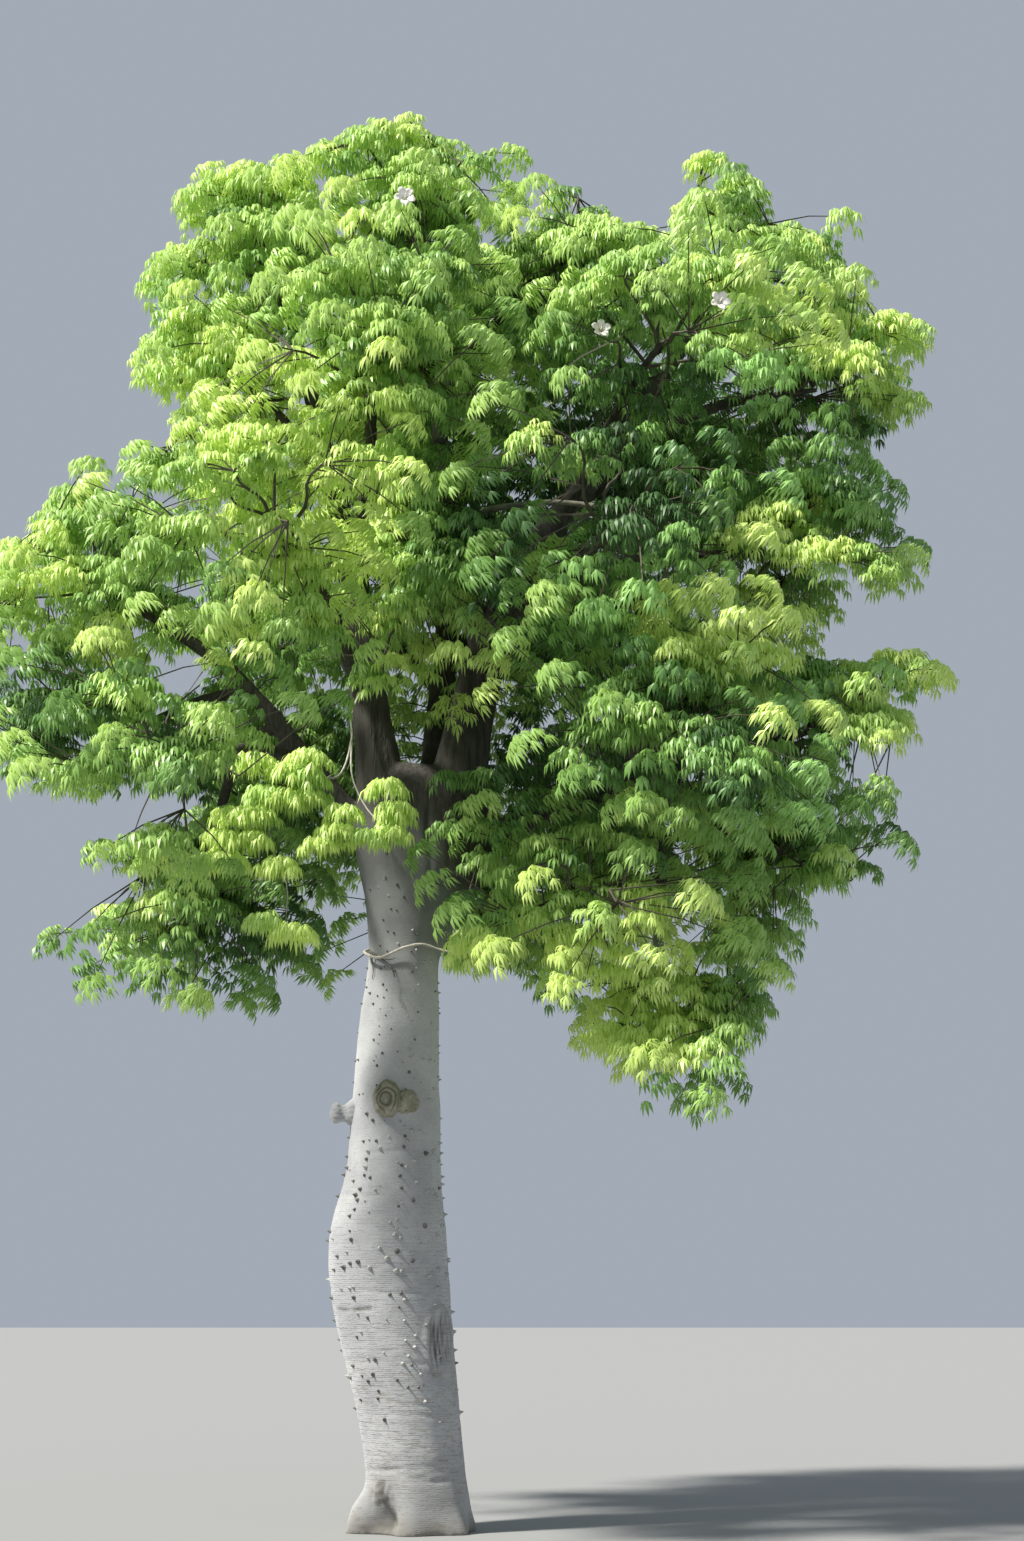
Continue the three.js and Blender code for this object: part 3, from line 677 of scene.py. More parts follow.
def joined_mesh(name, parts, finish):
    """One object from many pairs of corners and faces."""
    corners, faces, count = [], [], 0
    for part_corners, part_faces in parts:
        corners.append(part_corners)
        faces.extend([[c + count for c in face] for face in part_faces])
        count += len(part_corners)
    mesh = bpy.data.meshes.new(name)
    mesh.from_pydata(np.vstack(corners).tolist(), [], faces)
    mesh.update()
    return new_piece(name, mesh, finish)


def select_only(*objects):
    bpy.ops.object.select_all(action="DESELECT")
    for each in objects:
        each.select_set(True)
    bpy.context.view_layer.objects.active = objects[0]


def apply_modifier(piece, kind, **settings):
    """Adds a modifier, sets it and applies it."""
    modifier = piece.modifiers.new(kind.lower(), kind)
    for key, value in settings.items():
        setattr(modifier, key, value)
    select_only(piece)
    bpy.ops.object.modifier_apply(modifier=modifier.name)


def shade_smooth(piece):
    select_only(piece)
    bpy.ops.object.shade_smooth()


def corners_of(piece, what="co"):
    """All corners of a mesh as an array, or their normals."""
    flat = np.empty(len(piece.data.vertices) * 3)
    piece.data.vertices.foreach_get(what, flat)
    return flat.reshape(-1, 3)


def move_corners(piece, places):
    piece.data.vertices.foreach_set("co", np.ascontiguousarray(places, float).ravel())
    piece.data.update()


# %% [markdown]
# The trunk starts as a flat grid. Rolled up round the stations it becomes a shell, and its two ends are
# filled. It could be a cylinder that is scaled ring by ring, but the rolled grid puts every corner where
# the rule wants it in one go.
# %% Roll a grid into the trunk
AROUND, UPWARD = 96, 150
TRUNK_TOP = TRUNK_STATIONS[-1, 0]

bpy.ops.object.select_all(action="DESELECT")
bpy.ops.mesh.primitive_grid_add(x_subdivisions=AROUND, y_subdivisions=UPWARD, size=2)
trunk = bpy.context.object
trunk.name = "trunk_bark"

sheet = corners_of(trunk)
move_corners(trunk, on_bark((sheet[:, 1] + 1) / 2 * TRUNK_TOP, sheet[:, 0] * math.pi))
bpy.ops.object.mode_set(mode="EDIT")
bpy.ops.mesh.select_all(action="SELECT")
bpy.ops.mesh.remove_doubles(threshold=0.0002)
bpy.ops.mesh.select_all(action="DESELECT")
bpy.ops.mesh.select_non_manifold()
bpy.ops.mesh.edge_face_add()
bpy.ops.mesh.select_all(action="SELECT")
bpy.ops.mesh.normals_make_consistent(inside=False)
bpy.ops.object.mode_set(mode="OBJECT")
print("rolled trunk:", len(trunk.data.polygons), "faces")

# %% [markdown]
# Real limbs don't stick out of a trunk like pegs: the wood flows from one to the other. So the lower ends
# of the limbs, and a swelling under each healed knob, are joined with the trunk. A voxel remesh makes them
# one skin, and smoothing rounds the creases.
# %% Fuse the limbs' collars
COLLAR_BEYOND = 0.16
KNOBS = [
    # height, degrees round from the X axis, radius, length, and how tall it is for its width
    (2.94, 261, 0.090, 0.075, 1.25), (2.86, 187, 0.074, 0.150, 1.0), (2.91, 286, 0.060, 0.045, 1.1),
]
VOXEL = 0.0155

parts = []
for limb in limbs.values():
    if limb.collar:
        shares = np.linspace(0, limb.collar + COLLAR_BEYOND, 18)
        swell = 1 + 0.12 * np.exp(-((shares / limb.collar - 0.75) ** 2) / 0.08)
        sink = np.linspace(0, 0.006, 18)
        parts.append(tube(limb.path.at(shares), limb.radius_at(shares) * swell - sink, 24))
for z, angle, radius, length, _ in KNOBS:
    foot = on_bark(np.array(z), math.radians(angle), -0.10)
    outward = np.array([math.cos(math.radians(angle)), math.sin(math.radians(angle)), 0.08])
    steps = np.array([0, 0.05, 0.10, 0.125])
    parts.append(tube(foot + steps[:, None] * outward, radius * np.array([2.0, 1.6, 1.1, 0.7]), 16))
collars = joined_mesh("collars", parts, silver_bark)
select_only(trunk, collars)
bpy.ops.object.join()
apply_modifier(trunk, "REMESH", mode="VOXEL", voxel_size=VOXEL)
apply_modifier(trunk, "SMOOTH", factor=0.5, iterations=14)
print("fused trunk:", len(trunk.data.polygons), "faces")

# %% [markdown]
# The bark's relief comes next, and it begins with the places of what stands out in the photograph: grooves
# where the head's two halves meet and where the bark has split, and a long healed scar. A groove is as deep
# and wide as its numbers say, along straight lines between its points.
# %% Grooves and the scar
GROOVES = [
    # depth, half width and the points that the groove runs through
    (0.026, 0.022, [(0.085, -0.42, 5.25), (0.06, -0.38, 4.90), (0.09, -0.38, 4.62), (0.07, -0.30, 4.08)]),
    (0.010, 0.010, [(-0.165, -0.29, 3.80), (-0.12, -0.29, 3.72), (-0.125, -0.29, 3.64),
                    (-0.07, -0.29, 3.55)]),
    (0.012, 0.013, [(-0.34, -0.22, 4.36), (-0.30, -0.22, 4.15), (-0.345, -0.20, 3.95),
                    (-0.36, -0.18, 3.80)]),
    (0.010, 0.012, [(-0.30, -0.24, 4.15), (-0.29, -0.25, 3.98), (-0.31, -0.24, 3.86)]),
    (0.011, 0.011, [(-0.313, -0.39, 2.145), (-0.14, -0.41, 2.15), (0.033, -0.35, 2.159)]),
    (0.010, 0.011, [(-0.57, -0.15, 1.50), (-0.45, -0.31, 1.49), (-0.30, -0.38, 1.505)]),
    (0.016, 0.020, [(-0.20, -0.36, 5.15), (-0.24, -0.34, 4.80), (-0.20, -0.34, 4.45)]),
    (0.012, 0.016, [(0.28, -0.38, 5.20), (0.25, -0.36, 4.85), (0.19, -0.30, 4.40)]),
]
SCAR_PLACE, SCAR_HALF_WIDTH, SCAR_HALF_HEIGHT = (0.155, 1.29), 0.078, 0.205


def near_path(places, points):
    """The distance from places to a row of points joined by straight lines."""
    best = np.full(len(places), np.inf)
    for a, b in zip(np.array(points), np.array(points)[1:]):
        share = np.clip(((places - a) @ (b - a)) / ((b - a) @ (b - a)), 0, 1)
        best = np.minimum(best, np.linalg.norm(places - a - share[:, None] * (b - a), axis=1))
    return best


def noise_at(places, scale):
    return np.array([noise.noise(Vector(p)) for p in places * scale])


def hill(*offsets):
    """1 where every offset is 0, and next to nothing where one of them passes 2."""
    return np.exp(-sum(offset**2 for offset in offsets))


def healed_scar(places):
    """How far the scar's lip and its folds stand out, and how dark it is."""
    across = (places[:, 0] - SCAR_PLACE[0]) / SCAR_HALF_WIDTH
    upright = (places[:, 2] - SCAR_PLACE[1]) / SCAR_HALF_HEIGHT
    ring = np.hypot(across, upright)
    facing = (places[:, 1] < 0) & (ring < 2)
    lip = 0.013 * hill((ring - 0.95) / 0.24) - 0.010 * hill(ring / 0.55)
    folds = 0.004 * np.cos(across * 9 + upright) * np.clip(1 - ring, 0, 1)
    upright_streaks = np.clip(0.45 + 1.2 * noise_at(places, np.array([60, 60, 6.0])), 0, 1)
    healed = np.clip(1.6 - 1.3 * ring, 0, 1) * upright_streaks
    edge = 0.28 * hill((ring - 1.12) / 0.12)
    return np.where(facing, lip + folds, 0), np.where(facing, np.maximum(healed, edge), 0)


# %% [markdown]
# Level folds run round the belly and the foot, each part of the way and each a little wavy. The left root
# stands out like a leg that slopes to the ground, with a knobbly knee and a hollow beside it.
# %% Folds and the root
FOLDS = 60
FOLDS_FROM, FOLDS_OVER = 0.35, 2.4
FOLD_HALF_WIDTH = 0.013


def rings_of_folds(places, draw):
    """Level grooves that each run part of the way round the trunk."""
    angle = np.arctan2(places[:, 1], places[:, 0] - trunk_at(places[:, 2])[0])
    depth = np.zeros(len(places))
    for _ in range(FOLDS):
        z = FOLDS_FROM + FOLDS_OVER * draw() ** 1.3
        start, span = draw() * 2 * math.pi, 0.5 + 1.3 * draw()
        away = (angle - start) % (2 * math.pi)
        inside = np.clip(np.minimum(away, span - away) / 0.25, 0, 1)
        wave = z + 0.012 * np.sin(3 * away + z * 9) + 0.02 * (away / span - 0.5) * (draw() - 0.5)
        depth += (0.003 + 0.004 * draw()) * inside * hill((places[:, 2] - wave) / FOLD_HALF_WIDTH)
    return depth


def root_leg(places):
    """How much each place belongs to the left root's leg, to its knee and to the hollow by it."""
    angle = np.degrees(np.arctan2(places[:, 1], places[:, 0])) % 360
    leg = hill((angle - 200) / 16, (places[:, 2] - 0.14) / 0.13)
    knee = hill((angle - 226) / 13, (places[:, 2] - 0.27) / 0.09)
    hollow = hill((angle - 236) / 14, (places[:, 2] - 0.10) / 0.09)
    return leg, knee, hollow


# %% [markdown]
# Now every corner of the trunk moves in or out along its normal by the sum of it all: broad lumps, folds,
# grooves, the root and the scar. A bump in the finish would look alike from afar, but the mesh keeps the
# relief for every use. How dark a place is goes into the mesh's "crease" attribute: painted shade in the
# grooves, the hollow and the dips of the knee, and the scar's own darker tone.
# %% Bark relief
def paint_shade_and_scar(piece, amounts):
    """Keeps a number from 0 to 1 at each corner, which the finish reads to paint shade and a scar's darker
    tone.
    """
    marks = piece.data.attributes.new("crease", "FLOAT", "POINT")
    marks.data.foreach_set("value", np.clip(amounts, 0, 1).astype(np.float32))


def add_relief(piece):
    """Moves each corner along its normal by the bark's unevenness, and marks painted shade and the scar's
    tone.
    """
    places = corners_of(piece)
    out = 0.011 * noise_at(places, 1.7) + 0.005 * noise_at(places + 7.3, np.array([5.0, 5.0, 6.5]))
    upper = np.clip((places[:, 2] - 4.3) / 0.9, 0, 1)
    out += 0.012 * upper * noise_at(places + 3.1, np.array([7.0, 7.0, 1.6]))
    out -= rings_of_folds(places, seeded_draws(23))
    dark = np.zeros(len(places))
    for depth, half_width, points in GROOVES:
        groove = hill(near_path(places, points) / half_width)
        out -= depth * groove
        # Painted shade in the grooves.
        dark = np.maximum(dark, groove * 0.85)
    leg, knee, hollow = root_leg(places)
    knobbly = noise_at(places, 26.0)
    out += 0.080 * leg + knee * (0.022 + 0.040 * knobbly) - 0.070 * hollow
    # Painted shade in the dips between the knee's knobs and in the hollow beside it.
    dark = np.maximum(dark, np.clip(knee * (0.85 - 0.6 * knobbly), 0, 0.9))
    dark = np.maximum(dark, hollow * (0.7 - 0.5 * knobbly))
    scar_out, scar_dark = healed_scar(places)
    out += scar_out
    dark = np.maximum(dark, scar_dark)
    out *= np.clip(places[:, 2] / 0.05, 0, 1)
    placed = places + corners_of(piece, "normal") * out[:, None]
    placed[:, 2] = np.where(places[:, 2] < 0.3 * VOXEL, 0, np.maximum(placed[:, 2], 0))
    move_corners(piece, placed)
    paint_shade_and_scar(piece, dark)


add_relief(trunk)
trunk.data.materials.clear()
trunk.data.materials.append(silver_bark)
shade_smooth(trunk)
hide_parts("trunk")
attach(trunk, "root")
print("trunk faces", len(trunk.data.polygons), "lowest", round(corners_of(trunk)[:, 2].min(), 4))

# %% [markdown]
# The limbs and boughs beyond their collars are tubes. A bough swells a little where it springs from its
# parent, as a real branch does, and wanders so that no stretch is perfectly straight. A slender stem carries
# on from each to its mass's heart. Noise along the normals makes them all a little bumpy.
# %% Limbs, boughs and stems
STEM_TIP_RADIUS = 0.018


def grown_tube(path, start, end, radius_at, sides, rings, seed):
    """A tube with a swollen foot, along a path that wanders a little."""
    shares = np.linspace(start, end, rings)
    points = path.at(shares)
    radii = radius_at(shares)
    travelled = (shares - start) * path.length
    radii = radii * (1 + 0.35 * np.exp(-travelled / (1.6 * radii[0])))
    calm = np.minimum(1, travelled / 0.5)[:, None]
    sway = np.array([noise.noise_vector(Vector((seed, 0, t * 1.3))) for t in travelled])
    return tube(points + sway * 0.05 * calm * (1, 1, 0.4), radii, sides)


parts, replaced = [], list(limbs)
for i, limb in enumerate(limbs.values()):
    sides, rings = (18, 44) if limb.radius > 0.09 else (12, 22)
    if limb.collar:
        shares = np.linspace(limb.collar * 0.9, limb.end, rings)
        parts.append(tube(limb.path.at(shares), limb.radius_at(shares), sides))
    else:
        parts.append(grown_tube(limb.path, 0.0, limb.end, limb.radius_at, sides, rings, i * 3.7))
    stem_shares = np.linspace(limb.end - 0.02, 1, 8)
    stem_radii = np.linspace(BOUGH_TIP_RADIUS, STEM_TIP_RADIUS, 8)
    parts.append(tube(limb.path.at(stem_shares), stem_radii, 8))
boughs = joined_mesh("limbs_and_boughs", parts, silver_bark)
places = corners_of(boughs)
bumpy = 0.010 * noise_at(places, np.array([6.0, 6.0, 2.5])) + 0.004 * noise_at(places, 21.0)
move_corners(boughs, places + corners_of(boughs, "normal") * bumpy[:, None])
shade_smooth(boughs)
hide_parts(*replaced)
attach(boughs, "root")
print("limbs and boughs:", len(boughs.data.polygons), "faces")

# %% [markdown]
# ## Prickles and knobs
# The bark bears corky prickles. One is modelled as a cone with a wide foot, seven-sided and 1 tall, and the
# rest are copies that stand on the bark in their own sizes.
# %% One prickle
PRICKLE_SIDES = 7


def prickle_shape():
    """A cone with a wide foot, along Z, 1 tall and about 1 across."""
    levels = [(-0.35, 0.62), (0.0, 0.56), (0.28, 0.32), (0.72, 0.14)]
    turns = np.arange(PRICKLE_SIDES) * 2 * math.pi / PRICKLE_SIDES
    level_ring = np.stack([np.cos(turns), np.sin(turns), 0 * turns], axis=-1)
    rings = [radius * level_ring + (0, 0, height) for height, radius in levels]
    corners = np.vstack([*rings, [(0, 0, 1)]])
    faces = []
    for row in range(len(levels) - 1):
        for i in range(PRICKLE_SIDES):
            j = (i + 1) % PRICKLE_SIDES
            low, high = row * PRICKLE_SIDES, (row + 1) * PRICKLE_SIDES
            faces.append([low + i, low + j, high + j, high + i])
    top, last = len(corners) - 1, (len(levels) - 1) * PRICKLE_SIDES
    faces += [[last + i, last + (i + 1) % PRICKLE_SIDES, top] for i in range(PRICKLE_SIDES)]
    faces.append(list(range(PRICKLE_SIDES - 1, -1, -1)))
    return corners, faces


def stood_on_bark(shape, z, angle, size, rise=0.12):
    """Turns a shape along Z so that it points out of the bark at a place."""
    corners, faces = shape
    outward = unit(np.array([math.cos(angle), math.sin(angle), rise]))
    sideways = unit(np.cross(UP, outward))
    upward = np.cross(outward, sideways)
    foot = on_bark(np.array(z), angle)
    return foot + size * (corners @ np.array([sideways, upward, outward])), faces


# %% [markdown]
# They stand in loose upright rows, thickest below the neck. Some are pale, and some, more of them on the
# sunlit left, are painted dark: painted shadow for the shade that each casts there.
# %% Prickles in rows
PRICKLE_ROWS = [
    # degrees round from the X axis, mean gap along the row, and the row's top
    (240, 0.11, 4.9), (233, 0.25, 4.9), (248, 0.26, 4.9), (224, 0.40, 4.9), (257, 0.36, 4.9),
    (285, 0.10, 4.2), (292, 0.16, 4.2), (278, 0.30, 4.2), (268, 0.50, 4.2), (213, 0.50, 4.9),
    (200, 0.40, 3.9), (186, 0.24, 3.9),
]
PRICKLE_ROWS += [(angle, 0.30, 4.2) for angle in range(-56, 180, 14)]
PRICKLES_FROM = 0.62

draw = seeded_draws(5)
shape = prickle_shape()
prickles = {"pale": [], "dark": []}
for degrees, gap, top in PRICKLE_ROWS:
    z = PRICKLES_FROM + 0.6 * draw()
    while z < top:
        angle = math.radians(degrees) + 0.09 * math.sin(1.9 * z + 1) + 0.10 * (draw() - 0.5)
        # A dark prickle is painted shadow: most stand on the sunlit left, few on the shaded right.
        tone = "dark" if draw() < 0.45 - 0.35 * math.cos(angle) else "pale"
        size = lerp(1.0, 0.62, min(max((z - 1.9) / 1.6, 0), 1)) * (0.021 + 0.015 * draw())
        prickles[tone].append(stood_on_bark(shape, z, angle, size))
        z += gap * (0.4 + 1.2 * draw())
for tone, finish in (("pale", pale_cork), ("dark", dark_cork_and_painted_shadow)):
    piece = joined_mesh(f"prickles_{tone}", prickles[tone], finish)
    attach(piece, "root")
    print(len(prickles[tone]), tone, "prickles")

# %% [markdown]
# Two boughs were sawn off long ago, and callus grew over the stumps. One is an oval boss beside a low lump,
# and the other a bulb on a short neck. Each starts as a profile, and the Screw modifier turns it round the
# Z axis.
# %% Knobs from profiles
KNOB_PROFILES = [
    # outward from the bark and away from the axis, in shares of the knob's length and radius
    [(-1.4, 1.25), (-0.3, 1.20), (0.25, 1.12), (0.65, 1.02), (0.92, 0.84), (1.02, 0.62), (0.98, 0.40),
     (0.84, 0.20), (0.80, 0.0)],
    [(-0.5, 1.40), (0.0, 1.30), (0.16, 1.12), (0.30, 0.92), (0.42, 0.82), (0.55, 0.90), (0.70, 1.0),
     (0.84, 0.95), (0.95, 0.70), (1.01, 0.36), (1.02, 0.0)],
    [(-1.4, 1.5), (0.0, 1.35), (0.45, 1.05), (0.80, 0.65), (0.98, 0.25), (1.0, 0.0)],
]


def turned_profile(name, profile, radius, length):
    """A solid turned round Z from a smooth profile."""
    bpy.ops.object.select_all(action="DESELECT")
    bpy.ops.curve.primitive_bezier_curve_add()
    line = bpy.context.object
    line.name = name
    spline = line.data.splines[0]
    spline.bezier_points.add(len(profile) - 2)
    for point, (out, away) in zip(spline.bezier_points, profile):
        point.co = (away * radius, 0, out * length)
        point.handle_left_type = point.handle_right_type = "AUTO"
    spline.resolution_u = 7
    screw = line.modifiers.new("screw", "SCREW")
    screw.steps = screw.render_steps = 56
    screw.use_merge_vertices = True
    screw.merge_threshold = 0.0001
    bpy.ops.object.convert(target="MESH")
    made = bpy.context.object
    bpy.ops.object.mode_set(mode="EDIT")
    bpy.ops.mesh.select_all(action="SELECT")
    bpy.ops.mesh.normals_make_consistent(inside=False)
    bpy.ops.object.mode_set(mode="OBJECT")
    return made


# %% [markdown]
# The oval boss has folds that run round like the rings of a healed eye, and the bulb has upright ones. They
# come from moving the corners in and out, before the knob is stood on the bark.
# %% Healed knobs
for i, ((z, angle, radius, length, tallness), profile) in enumerate(zip(KNOBS, KNOB_PROFILES)):
    knob = turned_profile(f"knob_{i + 1}", profile, radius, length)
    places = corners_of(knob)
    turn = np.arctan2(places[:, 1], places[:, 0])
    away = np.hypot(places[:, 0], places[:, 1]) / radius
    face = np.clip((places[:, 2] / length - 0.5) / 0.4, 0, 1)
    if i == 0:
        folds = np.sin(away * 15 + 0.9 * np.sin(turn + 0.6) + 9 * noise_at(places + z, 13.0)) * face
    else:
        folds = np.sin(turn * 12 + 2 * np.sin(turn * 2)) * np.clip(away * 1.6 - 0.5, 0, 1) * 0.25
    lumps = noise_at(places + z, 16.0) * 0.014 + noise_at(places + z, 45.0) * 0.004
    places = places + corners_of(knob, "normal") * (lumps + 0.006 * folds)[:, None]
    places[:, 1] *= tallness
    stood, _ = stood_on_bark((places, []), z, math.radians(angle), 1, 0.06 - 0.12 * i)
    move_corners(knob, stood)
    # The valleys of the folds get painted shade.
    paint_shade_and_scar(knob, np.clip(-folds, 0, 1) * 0.8)
    knob.data.materials.append(silver_bark if i == 1 else callus)
    select_only(knob)
    bpy.ops.object.transform_apply(location=True, rotation=True, scale=True)
    shade_smooth(knob)
    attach(knob, "root")
    print(knob.name, len(knob.data.polygons), "faces")

# %% [markdown]
# ## Foliage
# A mass has twigs in whorls round its stem. Each twig reaches for the edge of the mass's space and ends in
# a tuft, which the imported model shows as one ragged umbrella. The same whorls and the same draws give the
# same tufts here.
# %% The rule for tufts
WHORLS = [(1, 88), (4, 36), (4, -4), (3, -42)]
TUFT_CORNERS = 7
TUFT_RADIUS, TUFT_SHORTEST, TUFT_LONGEST = 0.54, 0.76, 1.12
TUFT_THICKNESS, TUFT_DROOP, TUFT_LEAN, TUFT_JOINT = 0.060, 0.38, 0.6, 0.15
TUFT_SIZES = [1, 0.88, 0.76, 0.64, 0.52]
FIRST_SEED = 11
LEAF_CLEARANCE = 0.014


class Tuft:
    """A ragged umbrella: where its middle is, how it leans, and how far each corner reaches."""

    def __init__(self, middle, bearing, lean, radius, draw):
        outward = np.array([math.cos(bearing), math.sin(bearing), 0])
        self.middle, self.radius = middle, radius
        self.axis = unit(UP + outward * lean)
        self.across = unit(np.cross(self.axis, outward))
        self.forward = np.cross(self.across, self.axis)
        self.reaches = radius * np.array([lerp(TUFT_SHORTEST, TUFT_LONGEST, draw())
                                          for _ in range(TUFT_CORNERS)])

    def place(self, angle, reach, above=0.0):
        angle, reach = np.asarray(angle), np.asarray(reach)
        return (self.middle + (reach * np.sin(angle))[..., None] * self.across
                + (reach * np.cos(angle))[..., None] * self.forward
                + (above - TUFT_DROOP * reach)[..., None] * self.axis)

    def samples(self):
        """Its middle, its corners and places on the way to them."""
        angles = np.arange(TUFT_CORNERS) * 2 * math.pi / TUFT_CORNERS
        halves = angles + math.pi / TUFT_CORNERS
        between = (self.reaches + np.roll(self.reaches, -1)) / 2 * math.cos(math.pi / TUFT_CORNERS)
        rings = [self.place(angles, self.reaches * s) for s in (1, 0.7, 0.4)]
        rings += [self.place(halves, between * s) for s in (1, 0.6)]
        return np.vstack([self.middle, *rings])

    def reach_at(self, angle):
        """How far it reaches at an angle, between one corner and the next."""
        turn = angle / (2 * math.pi) * TUFT_CORNERS
        return np.interp(turn % TUFT_CORNERS, np.arange(TUFT_CORNERS + 1),
                         np.append(self.reaches, self.reaches[0]))

    def height_over(self, points):
        """How far points lie above its surface, or NaN where they lie beside it."""
        away = points - self.middle
        level = np.hypot(away @ self.across, away @ self.forward)
        reach = self.reach_at(np.arctan2(away @ self.across, away @ self.forward))
        height = away @ self.axis + TUFT_DROOP * level
        return np.where(level < reach * 0.93, height, np.nan)

    def crossed_by(self, points):
        height = self.height_over(points)
        height = height[~np.isnan(height)]
        return len(height) > 0 and height.min() < TUFT_THICKNESS / 2 and height.max() > -TUFT_THICKNESS / 2


# %% [markdown]
# What would touch a limb is skipped. The limbs and the trunk are kept as a cloud of balls for that test.
# %% Room beside the wood
balls = []
for limb in limbs.values():
    shares = np.linspace(0, limb.end, int(limb.path.length / 0.05))
    balls.append(np.column_stack([limb.path.at(shares), limb.radius_at(shares)]))
for z in np.arange(0, TRUNK_TOP, 0.06):
    middle, half_width, half_depth = trunk_at(np.array(z))
    balls.append(np.array([[middle, 0, z, (half_width + half_depth) / 2]]))
wood_balls = np.vstack(balls)


def room_beside_wood(points, clearance):
    """True for each point that is clear of all limbs and the trunk."""
    points = np.atleast_2d(points)
    far = np.linalg.norm(points[:, None] - wood_balls[None, :, :3], axis=2) - wood_balls[:, 3]
    return far.min(axis=1) > clearance


# %% [markdown]
# Each mass now grows its twigs and tufts, with the source's own draws. A tuft that would cross another or
# touch the wood is tried again smaller, and is left out if no size fits.
# %% Grow the tufts
def grow_tufts(limb, seed):
    """Pairs of a twig's foot and the tuft at its end."""
    heart, draw, grown = hearts[limb.mass], seeded_draws(seed), []
    turn = draw() * 2 * math.pi
    in_all, born = sum(count for count, _ in WHORLS), 0
    for whorl, (count, lift) in enumerate(WHORLS):
        for i in range(count):
            strayed = i + 0.3 * draw()
            bearing = turn + whorl * GOLDEN_ANGLE + strayed * 2 * math.pi / count
            rise = math.radians(lift + 12 * (draw() - 0.5))
            level = math.cos(rise)
            direction = np.array([math.cos(bearing) * level, math.sin(bearing) * level, math.sin(rise)])
            reaches = np.arange(0, 2, 0.02)
            edge = reaches[np.argmin(in_space(heart + reaches[:, None] * direction, heart))]
            tuft_seed = int(draw() * 2**32)
            foot = limb.path.at(lerp(0.97, limb.end, 0.9 * born / in_all))
            born += 1
            for size in TUFT_SIZES:
                radius = TUFT_RADIUS * size
                middle = heart + direction * (edge - radius * level - TUFT_THICKNESS)
                tuft = Tuft(middle, bearing, TUFT_LEAN * level, radius, seeded_draws(tuft_seed))
                samples = tuft.samples()
                fits = in_space(samples, heart).all() and room_beside_wood(samples, LEAF_CLEARANCE).all()
                if fits and not any(other.crossed_by(samples) or tuft.crossed_by(other.samples())
                                    for _, other in grown):
                    grown.append((foot, tuft))
                    break
    return grown


tufts = {}
for i, limb in enumerate(limbs.values()):
    tufts[limb.mass] = grow_tufts(limb, FIRST_SEED + i)
print(sum(len(t) for t in tufts.values()), "tufts")

# %% [markdown]
# A spray is what one real shoot bears: palmate leaves on stalks, each with seven leaflets that hang like
# fingers. A leaflet is two small faces, bent down where they meet at its widest place. Sprays on top of a
# tuft have more and finer leaves than the others, save far behind, and the young shoots' hang closest. A
# dozen sprays of each kind are made once, by seeded draws, and all others are turned and scaled copies.
# %% One spray of palmate leaves
LEAFLETS = 7
LEAFLET_LENGTH, SHORTER_ASIDE = 0.118, 0.010
LEAFLET_FACES = [(0, 2, 1), (1, 2, 3)]
FAN = 264
STALK_WIDTH, STALK_BELOW = 0.004, -0.03 * UP
SHAPES_OF_EACH_KIND = 12
SPRAY_KINDS = {
    # leaves, leaflet width for its length, how far it hangs and the lowest leaf's lift in degrees
    "fine": (15, 0.168, 16, -24),
    "plain": (9, 0.215, 14, -24),
    "young": (26, 0.155, 20, -6),
}


def leaflet(base, heading, length, width, first_droop, second_droop):
    """Corners of one leaflet: base, left, right, tip."""
    across = unit(np.cross(UP, heading))
    rib = base + 0.45 * length * (math.cos(first_droop) * heading - math.sin(first_droop) * UP)
    tip = rib + 0.55 * length * (math.cos(second_droop) * heading - math.sin(second_droop) * UP)
    edge_up = 0.12 * width * UP
    return [base, rib + across * width / 2 + edge_up, rib - across * width / 2 + edge_up, tip]


def spray_shape(draw, leaves, slimness, hang, lowest):
    """Corners and triangles of one spray round the origin, with its shoot along Z."""
    corners, faces = [], []
    for i in range(leaves):
        share = i / (leaves - 1)
        bearing = i * GOLDEN_ANGLE + 0.5 * (draw() - 0.5)
        lift = math.radians(lerp(66, lowest, share) + 16 * (draw() - 0.5))
        stalk = lerp(0.055, 0.125, share) * (0.85 + 0.3 * draw())
        outward = np.array([math.cos(bearing), math.sin(bearing), 0])
        sideways = np.cross(UP, outward)
        hub = stalk * (math.cos(lift) * outward + math.sin(lift) * UP)
        first = len(corners)
        edge = sideways * STALK_WIDTH / 2
        corners += [STALK_BELOW + edge, STALK_BELOW - edge, hub]
        faces.append([first, first + 1, first + 2])
        for k in range(LEAFLETS):
            aside = k - (LEAFLETS - 1) / 2
            turn = math.radians(aside * FAN / LEAFLETS + 12 * (draw() - 0.5))
            heading = math.cos(turn) * outward + math.sin(turn) * sideways
            length = (LEAFLET_LENGTH - SHORTER_ASIDE * abs(aside)) * (0.88 + 0.24 * draw())
            first_droop = math.radians(16 + hang + 20 * draw())
            second_droop = math.radians(58 + hang / 2 + 22 * draw())
            b = len(corners)
            corners += leaflet(hub, heading, length, slimness * length, first_droop, second_droop)
            faces += [[b + c for c in face] for face in LEAFLET_FACES]
    return np.array(corners), np.array(faces)


spray_draw = seeded_draws(301)
spray_shapes = {kind: [spray_shape(spray_draw, *numbers) for _ in range(SHAPES_OF_EACH_KIND)]
                for kind, numbers in SPRAY_KINDS.items()}
print({kind: len(shapes[0][1]) for kind, shapes in spray_shapes.items()}, "triangles in a spray")

